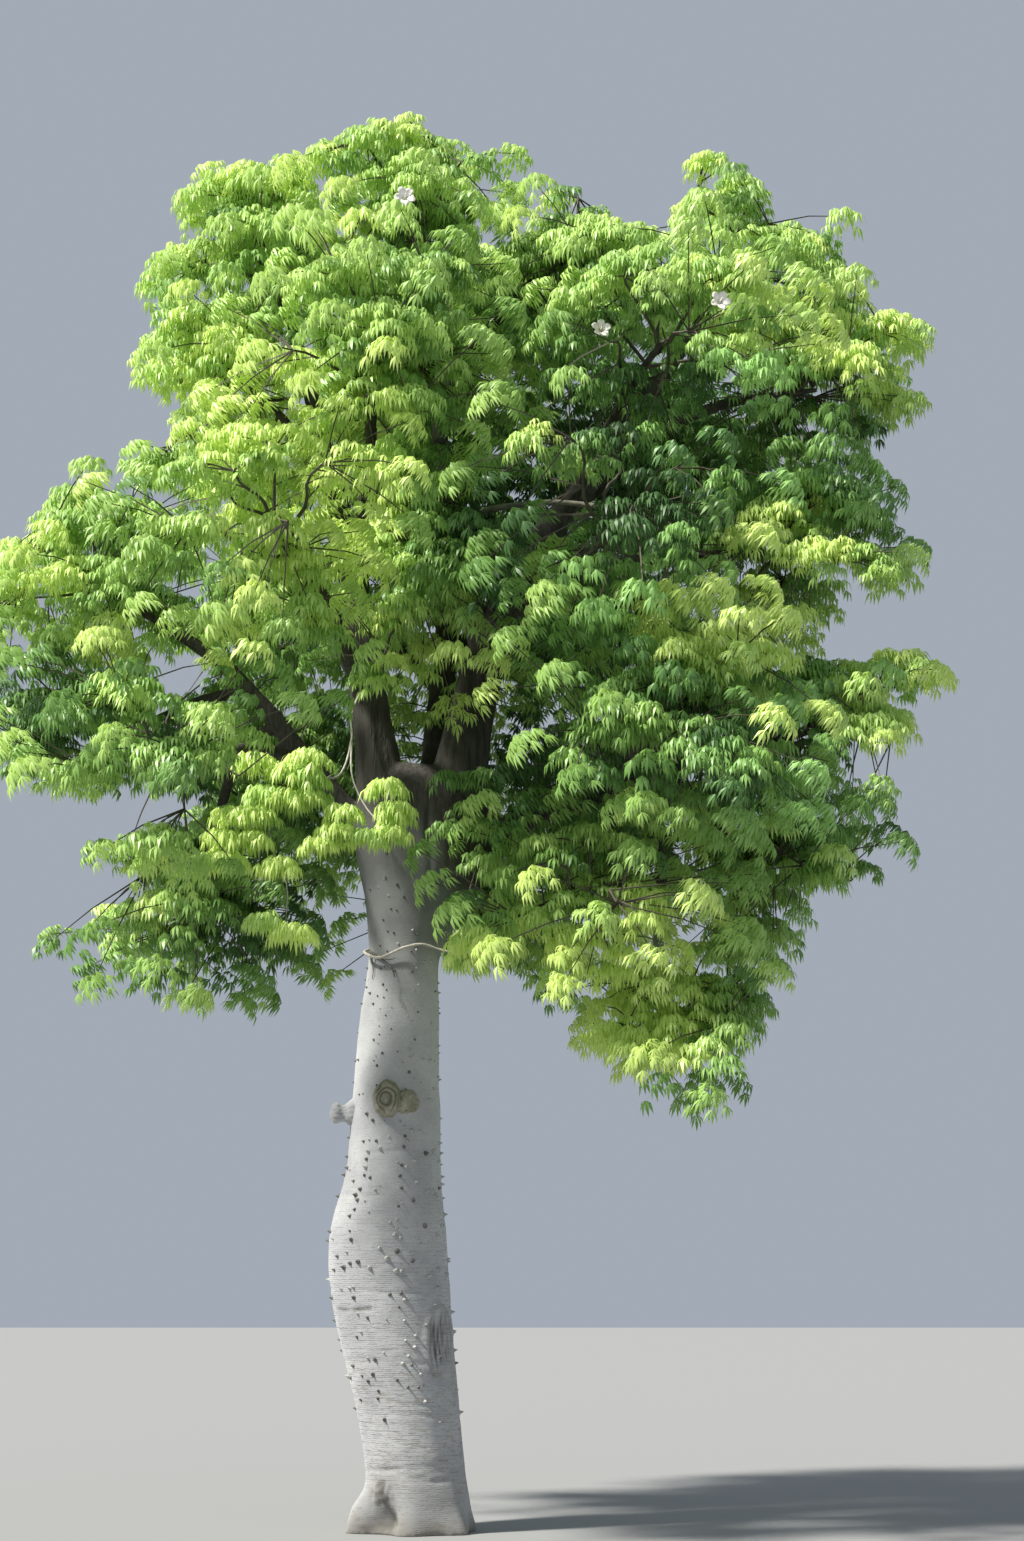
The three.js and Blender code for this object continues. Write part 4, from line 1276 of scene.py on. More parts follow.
# %% [markdown]
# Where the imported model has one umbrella, the real crown has a score of sprays. A spray is kept as a note of
# where it sits and what it grows from, and is only turned into leaves at the end. So is a twig, which sways
# a little on its way from the stem.
# %% Twigs and sprays as notes
TWIG_SWAY, TWIG_RISE = 0.20, 0.16


class Twig:
    """A twig from the stem to a tuft, how it sways on the way, and how far along it anything grows."""

    def __init__(self, foot, end, draw):
        self.foot, self.end, self.used = foot, end, 0.0
        length = np.linalg.norm(end - foot)
        self.sway = TWIG_SWAY * length * np.array([draw() - 0.5, draw() - 0.5, draw() - 0.5])

    def at(self, share):
        rise = TWIG_RISE * share * (1 - share) * UP
        return lerp(self.foot, self.end, share) + rise + self.sway * math.sin(2 * math.pi * share)


class Spray:
    """Where a spray sits, the way its shoot points, its size, and where it grows from."""

    def __init__(self, place, pointing, size, mass, top, foot=None, twig=None, share=0.0):
        self.place, self.pointing, self.size = place, pointing, size
        self.mass, self.top, self.twig, self.share = mass, top, twig, share
        self.foot = twig.at(share) if twig else foot
        self.kind = "plain"


def distances(places, place):
    return np.linalg.norm(np.array(places) - place, axis=1)


# %% [markdown]
# The sprays of a tuft sit on its umbrella in a spiral, with every fourth in a second layer under it, and
# three more stand along the twig. That keeps the tiers and lets the light through between them.
# %% Sprays on a tuft
SPRAYS_ON_FULL_TUFT, FEWEST_ON_TUFT, SPRAYS_ON_TWIG = 18, 5, 3
TUFT_EDGE_LEFT, LEAST_REACH = 0.09, 0.05


def grow_sprays(mass, twig, tuft, draw):
    """The sprays of one tuft."""
    count = max(FEWEST_ON_TUFT, round(SPRAYS_ON_FULL_TUFT * (tuft.radius / TUFT_RADIUS) ** 1.7))
    turn = draw() * 2 * math.pi
    found = []
    for k in range(count):
        under = k % 4 == 3
        share = math.sqrt((k + 0.4) / count)
        angle = turn + k * GOLDEN_ANGLE + 0.5 * (draw() - 0.5)
        reach = share * max(tuft.reach_at(angle) - TUFT_EDGE_LEFT, LEAST_REACH) * (0.78 if under else 1)
        above = (-0.16 - 0.12 * draw()) if under else (-0.03 + 0.05 * (draw() - 0.5))
        place = tuft.place(angle, reach, above)
        outward = tuft.place(angle, reach + 0.1, above) - place
        pointing = unit(UP + 1.9 * share * outward + 0.25 * np.array([draw() - 0.5, draw() - 0.5, 0]))
        found.append(Spray(place, pointing, 0.92 + 0.26 * draw(), mass, not under, twig=twig, share=0.86))
    for _ in range(SPRAYS_ON_TWIG):
        share = 0.35 + 0.5 * draw()
        aside = np.array([draw() - 0.5, draw() - 0.5, 0.3 * (draw() - 0.2)]) * 0.6
        found.append(Spray(twig.at(share) + aside, unit(UP + aside), 0.85 + 0.2 * draw(), mass, False,
                           twig=twig, share=share))
    return found


# %% [markdown]
# The twigs fork again between the tufts. The finer ones reach out from the heart in all directions, some
# to the edge of the mass's space and some less far, and each grows from the nearest twig. A spray that
# would crowd another is skipped.
# %% Finer twigs
FINER_TWIGS = 74
FINER_DEPTHS = (1.0, 0.78, 0.52)
SPRAY_SPACING = 0.225


def sphere_directions(count, turn):
    """Even directions all round, along a spiral."""
    rise = 1 - (np.arange(count) + 0.5) * 2 / count
    level, angle = np.sqrt(1 - rise**2), turn + np.arange(count) * GOLDEN_ANGLE
    return np.stack([level * np.cos(angle), level * np.sin(angle), rise], axis=-1)


def grow_finer(mass, own_twigs, taken, draw):
    """Sprays on finer twigs, which fill the mass's space between its tufts."""
    heart, found = hearts[mass], []
    feet = [(twig, share) for twig in own_twigs for share in (0.15, 0.4, 0.65, 0.9)]
    wood = np.array([twig.at(share) for twig, share in feet])
    reaches = np.arange(0, 1.9, 0.03)
    for depth in FINER_DEPTHS:
        directions = sphere_directions(round(FINER_TWIGS * depth**2), draw() * 2 * math.pi)
        inside = in_space(heart + reaches[None, :, None] * directions[:, None], heart)
        edges = reaches[np.argmin(inside, axis=1)]
        for direction, edge in zip(directions, edges):
            reach = (edge - 0.12 + 0.16 * (draw() - 0.5)) * depth
            place = heart + direction * reach
            if distances(taken, place).min() > SPRAY_SPACING:
                twig, share = feet[np.argmin(distances(wood, place))]
                pointing = unit(UP * (0.9 + 0.3 * draw()) + direction * (0.9, 0.9, 0.2))
                found.append(Spray(place, pointing, 0.92 + 0.26 * draw(), mass, depth == 1,
                                   twig=twig, share=share))
                taken.append(place)
    return found


# %% [markdown]
# With both rules at hand, each mass gets its twigs and its sprays.
# %% Grow the sprays
sprays, twigs_grown = [], []
spray_draw = seeded_draws(77)
sway_draw = seeded_draws(411)
for mass, pairs in tufts.items():
    own_twigs = []
    for foot, tuft in pairs:
        end = tuft.place(math.pi, tuft.radius * TUFT_JOINT) - tuft.axis * 0.10
        own_twigs.append(Twig(foot, end, sway_draw))
        sprays += grow_sprays(mass, own_twigs[-1], tuft, spray_draw)
    taken = [s.place for s in sprays]
    sprays += grow_finer(mass, own_twigs, taken, spray_draw)
    twigs_grown += own_twigs
print(len(sprays), "sprays grown from", len(twigs_grown), "twigs")

# %% [markdown]
# Short shoots grow straight from the limbs as well. They fill the inside of the crown behind the fork, where
# leaves show between the limbs.
# %% Fill the inside
INSIDE_BOXES = [
    # two opposite corners, how many tries and how far apart
    ((-1.9, 0.15, 4.5), (2.6, 2.1, 9.0), 1500, 0.27),
    ((-0.6, 0.25, 4.9), (1.0, 1.3, 6.9), 500, 0.19),
    ((0.30, -1.1, 4.3), (1.5, -0.3, 5.3), 300, 0.19),
    ((0.90, 0.30, 7.3), (3.0, 1.6, 8.9), 500, 0.20),
    ((-0.5, 0.25, 6.9), (0.9, 1.3, 8.6), 400, 0.20),
]
INSIDE_REACH = 0.85

limb_feet = np.vstack([limb.path.at(np.linspace(0.12, 1, 40)) for limb in limbs.values()])
limb_masses = [limb.mass for limb in limbs.values() for _ in range(40)]
taken = [s.place for s in sprays]
for low, high, tries, apart in INSIDE_BOXES:
    for _ in range(tries):
        place = np.array([lerp(a, b, spray_draw()) for a, b in zip(low, high)])
        far = distances(limb_feet, place)
        nearest = np.argmin(far)
        if far[nearest] < INSIDE_REACH and distances(taken, place).min() > apart:
            pointing = unit(UP + (place - limb_feet[nearest]) * (1, 1, 0))
            sprays.append(Spray(place, pointing, 1.0, limb_masses[nearest], False, foot=limb_feet[nearest]))
            taken.append(place)
print(len(sprays), "sprays with those inside")

# %% [markdown]
# What grew is pruned to what the photograph shows. Seen from the camera, the crown has a ragged outline,
# with a dome on the left, a spike on the right and gaps where the sky shows. The hollows are the dark places
# that the eye looks into: of the sprays in front of them only a share stays.
# %% The crown as the camera sees it
CROWN_OUTLINE = [
    # x and z in the upright plane through the trunk, clockwise from the neck
    (0.0, 4.5), (-0.5, 4.4), (-0.55, 3.65), (-1.4, 3.6), (-2.6, 3.75), (-2.9, 4.0), (-2.5, 4.2),
    (-1.7, 4.5), (-2.5, 4.75), (-1.7, 4.92), (-1.8, 5.22), (-2.5, 5.2), (-3.1, 5.35), (-3.6, 5.9),
    (-3.6, 6.8), (-2.9, 7.2), (-2.7, 7.7), (-2.2, 7.95), (-1.85, 8.25), (-2.3, 8.5), (-2.35, 8.75),
    (-1.95, 8.85), (-2.1, 9.1), (-2.25, 9.45), (-1.8, 9.5), (-1.95, 9.95), (-1.4, 10.35), (-1.2, 10.1),
    (-0.95, 10.42), (-0.7, 10.25), (-0.55, 10.45), (-0.2, 10.6), (0.4, 10.2), (0.75, 10.28), (1.05, 10.1),
    (1.3, 9.8), (1.9, 9.55), (2.05, 9.9), (2.15, 10.25), (2.45, 10.25), (2.6, 9.95), (2.6, 9.7),
    (2.95, 9.65), (3.4, 9.85), (3.3, 9.4), (3.65, 8.95), (3.95, 8.65), (3.9, 8.4), (3.45, 7.9),
    (3.75, 7.25), (3.75, 6.95), (3.45, 6.7), (3.25, 7.0), (3.05, 7.0), (3.05, 6.4), (2.7, 6.25),
    (2.9, 6.12), (3.4, 6.2), (4.05, 6.15), (4.05, 5.95), (3.6, 5.85), (3.4, 5.15), (3.6, 4.8),
    (3.4, 4.6), (2.9, 4.5), (2.7, 4.0), (2.3, 3.35), (2.3, 2.9), (1.9, 2.9), (1.2, 3.3), (0.9, 3.75),
    (0.6, 3.95), (0.2, 3.95),
]
SKY_GAPS = [
    # x, z, half width and half height
    (-1.84, 6.12, 0.27, 0.23), (-1.86, 6.76, 0.18, 0.10), (-2.16, 5.05, 0.45, 0.18),
    (3.05, 8.35, 0.10, 0.10), (2.35, 8.42, 0.08, 0.12), (3.25, 5.45, 0.14, 0.10), (2.75, 5.42, 0.16, 0.10),
]
HOLLOWS = [
    # x, z, half width, half height, how many of the sprays in front of it stay, and its depth
    (1.95, 8.25, 1.15, 0.62, 0.45, 0.1), (1.45, 5.60, 0.95, 1.05, 0.90, 0.1),
    (0.10, 5.75, 0.52, 0.80, 0.30, 0.1), (0.25, 7.60, 0.22, 0.65, 0.80, 0.1),
    (-0.85, 5.10, 0.85, 0.55, 0.12, -1.15), (1.55, 7.70, 0.75, 0.45, 0.55, 0.1),
]

# %% [markdown]
# Two more things keep leaves away. The sun falls through the crown on the trunk's neck and on some leaves
# in front, so the ways that its light takes there are free. And one bare bough crosses the middle of the
# crown in plain view.
# %% Ways for the sun, and the bare bough's way
SUNLIT = [
    # a place that the sun reaches through the crown, and how wide the way is
    (-0.38, -0.15, 3.30, 0.32), (-0.36, -0.18, 3.90, 0.34), (-0.36, -0.20, 3.60, 0.34),
    (-0.36, -0.24, 2.75, 0.28), (-0.40, -0.25, 2.30, 0.26), (-0.20, -0.95, 4.95, 0.40),
    (-0.65, -1.0, 5.0, 0.42), (-1.10, -1.25, 4.75, 0.40), (2.30, -1.75, 6.65, 0.50),
    (2.15, -1.60, 6.40, 0.42), (1.65, -1.45, 3.65, 0.48), (2.75, -0.9, 7.2, 0.32),
    (1.25, -1.45, 3.80, 0.40), (-1.55, -1.7, 8.3, 0.36), (-0.90, -1.95, 7.90, 0.40),
    (-0.55, -1.75, 7.10, 0.36),
]
BARE_BOUGH = [(0.40, -0.05, 7.05), (0.42, -0.45, 7.20), (0.73, -0.60, 7.22), (1.02, -0.66, 7.22),
              (1.34, -0.70, 7.16), (1.63, -0.72, 7.06), (1.95, -0.75, 7.00)]
bare_way = smooth_path(BARE_BOUGH)
print(len(SUNLIT), "ways for the sun")

# %% [markdown]
# To compare the crown with the photograph, a place's line of sight is followed to the upright plane through
# the trunk. There it falls inside an outline or an oval, or beside it.
# %% Lines of sight
def as_seen(places):
    """Where lines of sight from the camera to places cross the upright plane through the trunk."""
    eye = np.array(CAMERA_PLACE)
    away = places - eye
    return (eye + away * (-eye[1] / away[:, 1:2]))[:, [0, 2]]


def inside_outline(points, outline):
    """Which points an outline goes round, by counting its crossings to their right."""
    inside = np.zeros(len(points), bool)
    for (ax, az), (bx, bz) in zip(outline, outline[1:] + outline[:1]):
        if az != bz:
            crossing = (points[:, 1] > min(az, bz)) & (points[:, 1] <= max(az, bz))
            inside ^= crossing & (points[:, 0] < ax + (points[:, 1] - az) / (bz - az) * (bx - ax))
    return inside


def inside_oval(points, oval):
    x, z, half_width, half_height = oval
    return ((points[:, 0] - x) / half_width) ** 2 + ((points[:, 1] - z) / half_height) ** 2 < 1


# %% [markdown]
# Now the pruning itself. A spray stays where it has room beside the wood, lies inside the outline and the
# box, and isn't in a gap, a hollow, a way of the sun or in front of the bare bough. A twig ends where it
# would come out of the outline, and the sprays that grow from it move down to what is left of it.
# %% Prune to the outline
SPRAY_HALF = 0.15
ROOM_IN_BOX_LOW, ROOM_IN_BOX_HIGH = 0.14, (-0.14, -0.14, 0.12)
BARE_CLEARANCE, BARE_DEPTH = 0.13, -0.6

places = np.array([s.place for s in sprays])
seen = as_seen(places - 0.05 * UP)
kept = room_beside_wood(places, SPRAY_HALF) & inside_outline(seen, CROWN_OUTLINE)
box_low, box_high = (np.array(corner) for corner in cad_box)
kept &= ((places > box_low + ROOM_IN_BOX_LOW) & (places < box_high + ROOM_IN_BOX_HIGH)).all(axis=1)
for gap in SKY_GAPS:
    kept &= ~inside_oval(seen, gap)
prune_draw = seeded_draws(31)
chance = np.array([prune_draw() for _ in sprays])
for *oval, share_kept, depth in HOLLOWS:
    kept &= ~(inside_oval(seen, oval) & (places[:, 1] < depth) & (chance > share_kept))
towards_sun = np.array(TO_SUN)
for *target, radius in SUNLIT:
    along = np.maximum((places - target) @ towards_sun, 0)
    off = np.linalg.norm(places - target - along[:, None] * towards_sun, axis=1)
    kept &= off > radius
bare_on_view = as_seen(bare_way.at(np.linspace(0.25, 0.65, 16)))
off = np.linalg.norm(seen[:, None] - bare_on_view, axis=2).min(axis=1)
kept &= ~((off < BARE_CLEARANCE) & (places[:, 1] < BARE_DEPTH))
sprays = [s for s, ok in zip(sprays, kept) if ok]
for twig in twigs_grown:
    shares = np.linspace(0, 0.9, 19)
    on_view = as_seen(np.array([twig.at(share) for share in shares]))
    hidden = inside_outline(on_view, CROWN_OUTLINE)
    for gap in SKY_GAPS:
        hidden &= ~inside_oval(on_view, gap)
    twig.limit = shares[np.argmin(hidden)] if not hidden.all() else 1.0
for spray in sprays:
    if spray.twig:
        spray.share = min(spray.share, max(spray.twig.limit, 0.1))
        spray.foot = spray.twig.at(spray.share)
        spray.twig.used = max(spray.twig.used, spray.share)
print(len(sprays), "sprays kept")

# %% [markdown]
# A few young shoots hang in front of the fork, with the palest leaves of all. One more creeps round the
# neck and ends in a bunch of leaves on the right, and thin roots cling to the bark below it. Their ways are
# curves through a few points. The leaves hang in caps, like small umbrellas, and two bunches of older
# leaves stand before the fork.
# %% Young shoots in front
YOUNG_SHOOTS = [
    # the radius and the points that a shoot runs through
    (0.011, [(-0.42, -0.18, 5.98), (-0.50, -0.30, 5.72), (-0.49, -0.40, 5.50), (-0.57, -0.50, 5.22),
             (-0.80, -0.85, 5.14), (-1.10, -1.00, 4.90), (-1.30, -1.02, 4.55)]),
    (0.009, [(-0.49, -0.38, 5.53), (-0.47, -0.55, 5.20), (-0.36, -0.68, 4.95), (-0.24, -0.80, 4.80)]),
    (0.007, [(-0.62, -0.60, 5.20), (-0.70, -0.85, 5.04), (-0.62, -0.92, 4.84), (-0.62, -0.95, 4.62)]),
    (0.007, [(-0.95, -0.93, 5.05), (-1.02, -1.0, 4.85), (-0.98, -1.0, 4.60), (-0.88, -1.0, 4.35),
             (-0.88, -1.0, 4.05)]),
    (0.0125, [(-0.33, 0.02, 4.05), (-0.391, -0.18, 3.99), (-0.276, -0.285, 3.94), (-0.097, -0.315, 4.01),
              (0.031, -0.30, 4.035), (0.124, -0.27, 4.01), (0.23, -0.30, 3.98), (0.42, -0.45, 3.98)]),
]
ROOTLETS = [
    # thin dark roots that cling to the bark below the shoot's left end
    (0.010, [(-0.355, -0.16, 4.00), (-0.30, -0.235, 3.965), (-0.25, -0.27, 3.925), (-0.19, -0.292, 3.87),
             (-0.165, -0.30, 3.80)]),
    (0.007, [(-0.33, -0.20, 3.99), (-0.335, -0.185, 3.93), (-0.325, -0.19, 3.86), (-0.332, -0.18, 3.80)]),
    (0.005, [(-0.26, -0.263, 3.935), (-0.20, -0.283, 3.925), (-0.16, -0.292, 3.935)]),
]
YOUNG_CAPS = [
    # x and z of the caps of leaves in front of the fork, and how many of them stand side by side
    (-0.18, 5.00, 1), (-0.11, 4.83, 1), (-0.24, 4.67, 2), (-0.48, 4.83, 1), (-0.55, 4.70, 1),
    (-0.66, 4.62, 1), (-0.73, 5.23, 1), (-1.10, 5.20, 1), (-0.81, 5.10, 2), (-0.88, 4.95, 3),
    (-1.17, 4.82, 2), (-1.20, 4.66, 2), (-1.34, 4.50, 2), (-0.93, 4.45, 1), (-1.00, 4.06, 1),
    (-0.82, 4.00, 1),
]
CAP_DEPTH, CAP_WIDTH = -1.15, 0.15
NECK_CAPS = [(0.40, -0.48, 4.06), (0.52, -0.55, 3.94), (0.36, -0.50, 3.88), (0.62, -0.50, 4.05)]
FORK_BUNCHES = [(0.34, 5.17), (0.33, 4.83)]
FORK_DEPTH, FORK_SPACING = -0.80, 0.14
FRONT_MASS = "lower_front_left"

# %% [markdown]
# Each cap is two sprays, one behind the other, and grows from the nearest place on a shoot. The leaves of
# the two bunches grow from the nearest place on a limb.
# %% Young leaves
young_draw = seeded_draws(58)
wood = np.vstack([smooth_path(points).at(np.linspace(0.35, 1, 30)) for _, points in YOUNG_SHOOTS])
caps = [np.array([x + (k - (count - 1) / 2) * CAP_WIDTH, CAP_DEPTH, z])
        for x, z, count in YOUNG_CAPS for k in range(count)]
caps += [np.array(place) for place in NECK_CAPS]
young_sprays = []
for cap in caps:
    foot = wood[np.argmin(distances(wood, cap))]
    for depth in (0.0, 0.16):
        place = cap + (0.05 * (young_draw() - 0.5), depth, 0.04 * (young_draw() - 0.5))
        pointing = unit(UP + 0.3 * (cap - foot) + (0.2 * (young_draw() - 0.5), -0.15, 0))
        spray = Spray(place, pointing, 0.98 + 0.2 * young_draw(), FRONT_MASS, True, foot=foot)
        spray.kind = "young"
        young_sprays.append(spray)
for x, z in FORK_BUNCHES:
    for aside in (-FORK_SPACING, 0.0, FORK_SPACING):
        place = np.array([x + aside, FORK_DEPTH + 0.1 * young_draw(), z + 0.06 * (young_draw() - 0.5)])
        foot = limb_feet[np.argmin(distances(limb_feet, place))]
        sprays.append(Spray(place, unit(UP + (aside, -0.2, 0)), 0.95, FRONT_MASS, True, foot=foot))
print(len(young_sprays), "young sprays on", len(YOUNG_SHOOTS), "shoots")

# %% [markdown]
# The shoots and the thin roots are tubes that taper along their curves. A shoot also has small knots, where
# leaves once stood.
# %% Shoots and rootlets
shoot_parts, root_parts = [], []
for radius, points in YOUNG_SHOOTS:
    path = smooth_path(points)
    shares = np.linspace(0, 1, max(8, round(path.length / 0.05)))
    knots = 1 + 0.15 * np.sin(shares * path.length * 60)
    shoot_parts.append(tube(path.at(shares), lerp(radius, radius * 0.5, shares) * knots, 8))
for radius, points in ROOTLETS:
    path = smooth_path(points)
    root_parts.append(tube(path.at(np.linspace(0, 1, 14)), np.linspace(radius, radius * 0.4, 14), 6))
shoots = joined_mesh("young_shoots", shoot_parts, pale_shoot)
rootlets = joined_mesh("rootlets", root_parts, dark_cork_and_painted_shadow)
for piece in (shoots, rootlets):
    shade_smooth(piece)
    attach(piece, "root")
print(len(shoot_parts), "shoots and", len(root_parts), "rootlets")

# %% [markdown]
# One bough crosses the dark middle of the crown in plain view. It is bare and paler than the rest, bows up a
# little and ends among the leaves on the right. It is swept like the shoots, with slight knots along it.
# %% A bare bough
BARE_THICK, BARE_THIN = 0.027, 0.016

shares = np.linspace(0, 1, 48)
knots = 1 + 0.10 * np.sin(shares * 31) * np.sin(shares * 13)
bough_tube = tube(bare_way.at(shares), lerp(BARE_THICK, BARE_THIN, shares) * knots, 12)
bare_bough = joined_mesh("bare_bough", [bough_tube], grey_bough)
shade_smooth(bare_bough)
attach(bare_bough, "root")
print("the bare bough is", round(float(bare_way.length), 2), "m long")

# %% [markdown]
# Colours are dealt out by spray, and they paint light and shade. A spray gets painted light at the top, in
# front, on the left and on the outside of the crown, and painted shade, a deep green, under other leaves,
# inside and in the hollows. Patches where the photograph is brighter or darker than that rule get a little
# more or less painted light, the young growth in front most of all. Where the crown is in shade on the
# right, the greens are painted cooler, as shade under the sky.
# %% Lighter, darker and cooler patches
PAINTED_LIGHT_PATCHES = [
    # x, z, half width and half height as seen, and how much painted light they add; the first are young growth
    (1.50, 3.68, 0.62, 0.60, 0.55), (2.80, 7.25, 0.46, 0.28, 0.36), (2.26, 6.50, 0.64, 0.36, 0.48),
    (0.45, 3.95, 0.35, 0.25, 0.25), (-0.87, 7.87, 0.84, 0.91, 0.28), (-0.75, 7.15, 0.70, 0.65, 0.30),
    (3.48, 5.91, 0.52, 0.37, 0.22), (1.17, 5.03, 1.03, 0.29, 0.05), (1.45, 4.35, 0.90, 0.35, 0.28),
    (0.21, 5.98, 0.59, 0.50, 0.35), (3.40, 8.75, 0.40, 0.50, 0.20), (-1.45, 8.40, 0.60, 0.50, 0.38),
    (2.55, 8.95, 0.50, 0.30, 0.15), (-2.85, 6.90, 0.38, 0.35, 0.28), (-1.45, 6.42, 0.32, 0.30, 0.22),
    (-2.40, 6.40, 0.32, 0.30, 0.22), (-1.95, 4.45, 0.40, 0.30, 0.24), (0.05, 6.10, 0.60, 0.75, 0.24),
]
PAINTED_SHADE_PATCHES = [
    # the same, and how much painted shade they add
    (1.11, 7.43, 0.95, 0.30, 0.32), (-2.77, 5.95, 0.48, 0.45, 0.38), (3.09, 8.03, 0.46, 0.30, 0.15),
    (1.80, 7.42, 0.42, 0.34, 0.35), (1.70, 8.20, 0.80, 0.40, 0.15), (-0.05, 9.45, 0.45, 0.35, 0.12),
    (-1.05, 4.70, 0.80, 0.80, 0.18), (0.95, 8.85, 0.35, 0.30, 0.16), (3.35, 7.65, 0.38, 0.45, 0.20),
    (-1.20, 4.00, 0.50, 0.35, 0.16), (-1.93, 5.43, 0.35, 0.30, 0.20), (-0.50, 5.75, 0.35, 0.45, 0.25),
    (2.35, 5.45, 0.38, 0.32, 0.26), (3.05, 5.42, 0.35, 0.30, 0.16), (2.36, 7.48, 0.28, 0.25, 0.22),
    (-0.02, 6.92, 0.28, 0.25, 0.22), (0.45, 7.20, 0.30, 0.45, 0.22), (-0.05, 7.95, 0.30, 0.28, 0.18),
]
# Painted shade: the crown's shaded right gets cooler greens.
PAINTED_COOL_SHADE_PATCHES = [(2.56, 8.10, 1.50, 1.00), (1.33, 7.00, 0.90, 0.75), (3.18, 5.60, 1.10, 0.95)]
COOL_SHADE_GREENS = ["leaves_cool_pale", "leaves_cool_pale", "leaves_cool_mid", "leaves_cool_mid", "leaves_cool_deep"]
print(len(PAINTED_LIGHT_PATCHES), "lighter and", len(PAINTED_SHADE_PATCHES), "darker patches")

# %% [markdown]
# Each spray's painted brightness picks one of the seven greens, with a draw that mixes neighbouring ones.
# The patches leave out the sprays far behind, because those don't show there.
# %% Deal out the greens
CROWN_MIDDLE = np.array([0.35, 0.0, 6.9])
CROWN_HALF = np.array([3.7, 3.0, 3.6])
BRIGHT, PAINTED_LIGHT_OUTSIDE, PAINTED_SUN_LIGHT = 0.51, 0.20, 0.20
MIXED, PAINTED_SHADE_UNDER, PAINTED_SHADE_IN_HOLLOWS = 0.28, 0.26, 0.14
DARK_HOLLOWS = HOLLOWS[:3]
FRONT_OF_CROWN, FINE_LEAVES_TO = 1.3, 1.0
SHARE_COOLED, SHARE_LIME = 0.75, 0.75
green_names = list(GREENS)[:7]
green_draw = seeded_draws(909)

seen = as_seen(np.array([s.place for s in sprays]))
front = np.array([s.place[1] < FRONT_OF_CROWN for s in sprays])
gains = sum(gain * (inside_oval(seen, oval) & front) for *oval, gain in PAINTED_LIGHT_PATCHES)
gains = gains - sum(loss * (inside_oval(seen, oval) & front) for *oval, loss in PAINTED_SHADE_PATCHES)
cool = sum(inside_oval(seen, oval) for oval in PAINTED_COOL_SHADE_PATCHES) > 0
plain = ~(gains > 0)
gains = gains - sum(PAINTED_SHADE_IN_HOLLOWS * (inside_oval(seen, oval) & plain) for *oval, _, _ in DARK_HOLLOWS)
dealt = {name: [] for name in GREENS}
for spray, gain, is_cool in zip(sprays, gains, cool):
    away = (spray.place - CROWN_MIDDLE) / CROWN_HALF
    outside = min(np.linalg.norm(away), 1.2)
    sunny = -0.1 * away[0] - 0.25 * away[1] + 0.65 * away[2]
    # Painted light and shade: brighter outside and towards the sun, darker under other leaves.
    bright = BRIGHT + PAINTED_LIGHT_OUTSIDE * outside + PAINTED_SUN_LIGHT * sunny + gain
    bright += MIXED * (green_draw() - 0.5) - (0 if spray.top else PAINTED_SHADE_UNDER)
    step = int(np.clip((1 - bright) * len(green_names), 0, len(green_names) - 1))
    name = green_names[step]
    if is_cool and 1 < step < 6 and green_draw() < SHARE_COOLED:
        name = COOL_SHADE_GREENS[step - 1]
    dealt[name].append(spray)
    spray.kind = "fine" if spray.top and spray.place[1] < FINE_LEAVES_TO else "plain"
for spray in young_sprays:
    dealt["leaves_lime" if green_draw() < SHARE_LIME else "leaves_yellow_green"].append(spray)
sprays += young_sprays
print({name: len(group) for name, group in dealt.items()})

# %% [markdown]
# The sprays of one green become one mesh, from arrays: each kind of spray is turned, scaled and moved for
# all its copies in one sum. A green with more sprays than one piece holds is split into several pieces. A
# piece that would pass 200,000 triangles is split.
# %% A mesh straight from arrays
def turned_by(pointing, spin):
    """Rows of a rotation that stands Z along pointing and spins round it."""
    side = unit(np.cross(pointing, (math.sin(spin), math.cos(spin), 0.01)))
    return np.array([side, np.cross(pointing, side), pointing])


def mesh_from_arrays(name, corners, triangles, finish):
    """A mesh of triangles, filled straight from arrays."""
    mesh = bpy.data.meshes.new(name)
    mesh.vertices.add(len(corners))
    mesh.vertices.foreach_set("co", corners.ravel())
    mesh.loops.add(len(triangles) * 3)
    mesh.loops.foreach_set("vertex_index", triangles.ravel().astype(np.int32))
    mesh.polygons.add(len(triangles))
    mesh.polygons.foreach_set("loop_start", np.arange(0, len(triangles) * 3, 3, dtype=np.int32))
    mesh.polygons.foreach_set("loop_total", np.full(len(triangles), 3, dtype=np.int32))
    mesh.update(calc_edges=True)
    return new_piece(name, mesh, finish)


# %% [markdown]
# Each copy of a spray gets its own spin, so that no two look alike. The imported masses whose leaves a
# piece replaces are hidden.
# %% Join the sprays
SPRAYS_IN_PIECE = 940
leaf_pieces = []
spin_draw = seeded_draws(4242)
for green, group in dealt.items():
    for part, first in enumerate(range(0, len(group), SPRAYS_IN_PIECE)):
        corners, triangles, count = [], [], 0
        chosen = group[first:first + SPRAYS_IN_PIECE]
        for i, spray in enumerate(chosen):
            shape, faces = spray_shapes[spray.kind][i % SHAPES_OF_EACH_KIND]
            turned = shape * spray.size @ turned_by(spray.pointing, spin_draw() * 2 * math.pi)
            corners.append(turned + spray.place)
            triangles.append(faces + count)
            count += len(shape)
        piece = mesh_from_arrays(f"{green}_{part + 1}", np.vstack(corners), np.vstack(triangles),
                                 leaf_finishes[green])
        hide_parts(*sorted({f"leaves_{s.mass}" for s in chosen}))
        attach(piece, "root")
        leaf_pieces.append(piece)
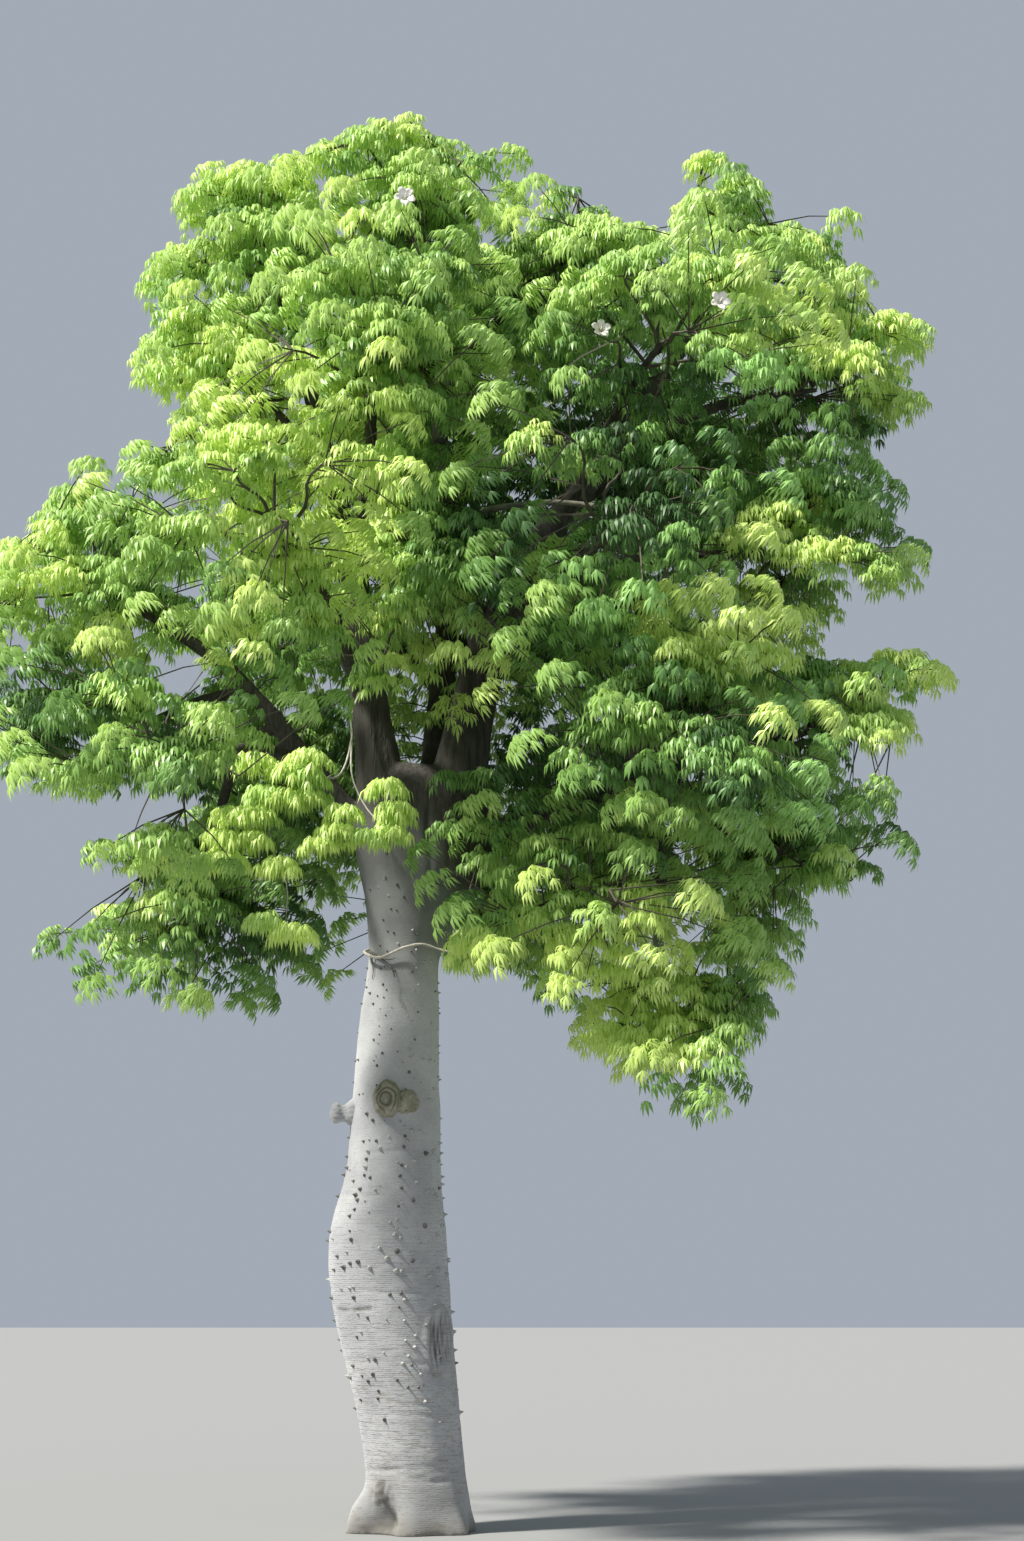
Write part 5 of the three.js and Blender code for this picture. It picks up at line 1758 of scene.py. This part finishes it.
print(len(leaf_pieces), "pieces,", sum(len(p.data.polygons) for p in leaf_pieces), "triangles of leaf")

# %% [markdown]
# The twigs are slender tubes: the first from the stem to the tuft, and finer ones that fork from it, one to
# each spray.
# %% Join the twigs
TWIG_RINGS, TWIG_THICK, TWIG_THIN = 7, 0.016, 0.008
SPRIG_RADII = [0.0075, 0.0055, 0.0035]

parts = []
for twig in twigs_grown:
    if twig.used:
        points = [twig.at(share * twig.used) for share in np.linspace(0, 1, TWIG_RINGS)]
        parts.append(tube(points, np.linspace(TWIG_THICK, TWIG_THIN, TWIG_RINGS), 5))
for spray in sprays:
    half = lerp(spray.foot, spray.place, 0.55) + 0.03 * UP
    parts.append(tube([spray.foot, half, spray.place], SPRIG_RADII, 3, closed=False))
twigs = joined_mesh("twigs", parts, young_twig)
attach(twigs, "root")
print("twigs:", sum(len(p.vertices) - 2 for p in twigs.data.polygons), "triangles")

# %% [markdown]
# A few white blossoms are out, each with five narrow petals and a slender column in the middle. A petal is
# a small grid that is shaped by a formula, and five of them make a flower.
# %% A flower
PETALS = 5
PETAL_LENGTH, PETAL_WIDTH = 0.072, 0.054


def petal_shape(turn):
    """Corners and faces of one petal that curls back and has wavy edges."""
    columns, rows = 5, 9
    u, v = np.meshgrid(np.linspace(-1, 1, columns), np.linspace(0, 1, rows))
    width = PETAL_WIDTH / 2 * np.sin(np.clip(0.12 + 0.86 * v, 0, 1) * math.pi) ** 0.6
    across = u * width
    out = PETAL_LENGTH * (0.15 + 0.85 * v)
    up = 0.060 * v - 0.035 * v**3 + 0.004 * u**2 + 0.003 * np.sin(v * 14) * u
    flat = np.stack([out * math.cos(turn) - across * math.sin(turn),
                     out * math.sin(turn) + across * math.cos(turn), up], -1).reshape(-1, 3)
    faces = [[r * columns + c, r * columns + c + 1, (r + 1) * columns + c + 1, (r + 1) * columns + c]
             for r in range(rows - 1) for c in range(columns - 1)]
    return flat, faces


flower = [petal_shape(k * 2 * math.pi / PETALS) for k in range(PETALS)]
column = [(0, 0, -0.03), (0, 0, 0.0), (0, 0, 0.03), (0.004, 0, 0.065)]
flower.append(tube(column, [0.006, 0.008, 0.003, 0.004], 7))
print(sum(len(faces) for _, faces in flower), "faces in a flower")

# %% [markdown]
# Three blossoms show in the photograph. Each stands just in front of the foremost leaves there, on the line
# of sight. The others are on twig ends round the back of the crown.
# %% Blossoms
BLOSSOMS_SEEN = [(1.35, 8.84), (-0.17, 9.94), (2.27, 9.07)]
BLOSSOMS_ELSEWHERE = 9
NEAR_BLOSSOM, BEFORE_LEAVES = 0.22, 0.20
NOWHERE = 99
FACES_CAMERA = np.array([0.2, -1.0, 0.1])

blossom_draw = seeded_draws(64)
behind = [s for s in sprays
          if s.top and s.kind != "young" and s.place[2] < 10.1 and s.place[1] > 0.6]
spray_seen = as_seen(np.array([s.place for s in sprays]))
depths = np.array([s.place[1] for s in sprays])
eye = np.array(CAMERA_PLACE)
flower_places = []
for x, z in BLOSSOMS_SEEN:
    far = distances(spray_seen, (x, z))
    depth = depths[np.argmin(np.where(far < NEAR_BLOSSOM, depths, NOWHERE))] - BEFORE_LEAVES
    sight = np.array([x, 0, z]) - eye
    flower_places.append((eye + sight * (depth - eye[1]) / sight[1], FACES_CAMERA))
for _ in range(BLOSSOMS_ELSEWHERE):
    spray = behind[int(blossom_draw() * len(behind))]
    outward = unit(spray.place * (1, 1, 0))
    flower_places.append((spray.place + 0.12 * outward + 0.03 * UP, spray.pointing * 0.5 + outward))
parts = []
for place, facing in flower_places:
    rows = turned_by(unit(facing), blossom_draw() * 6)
    parts += [(corners @ rows + place, faces) for corners, faces in flower]
blossoms = joined_mesh("blossoms", parts, petal)
apply_modifier(blossoms, "SOLIDIFY", thickness=0.0012, offset=0)
shade_smooth(blossoms)
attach(blossoms, "root")
print(len(flower_places), "blossoms,", len(blossoms.data.polygons), "faces")
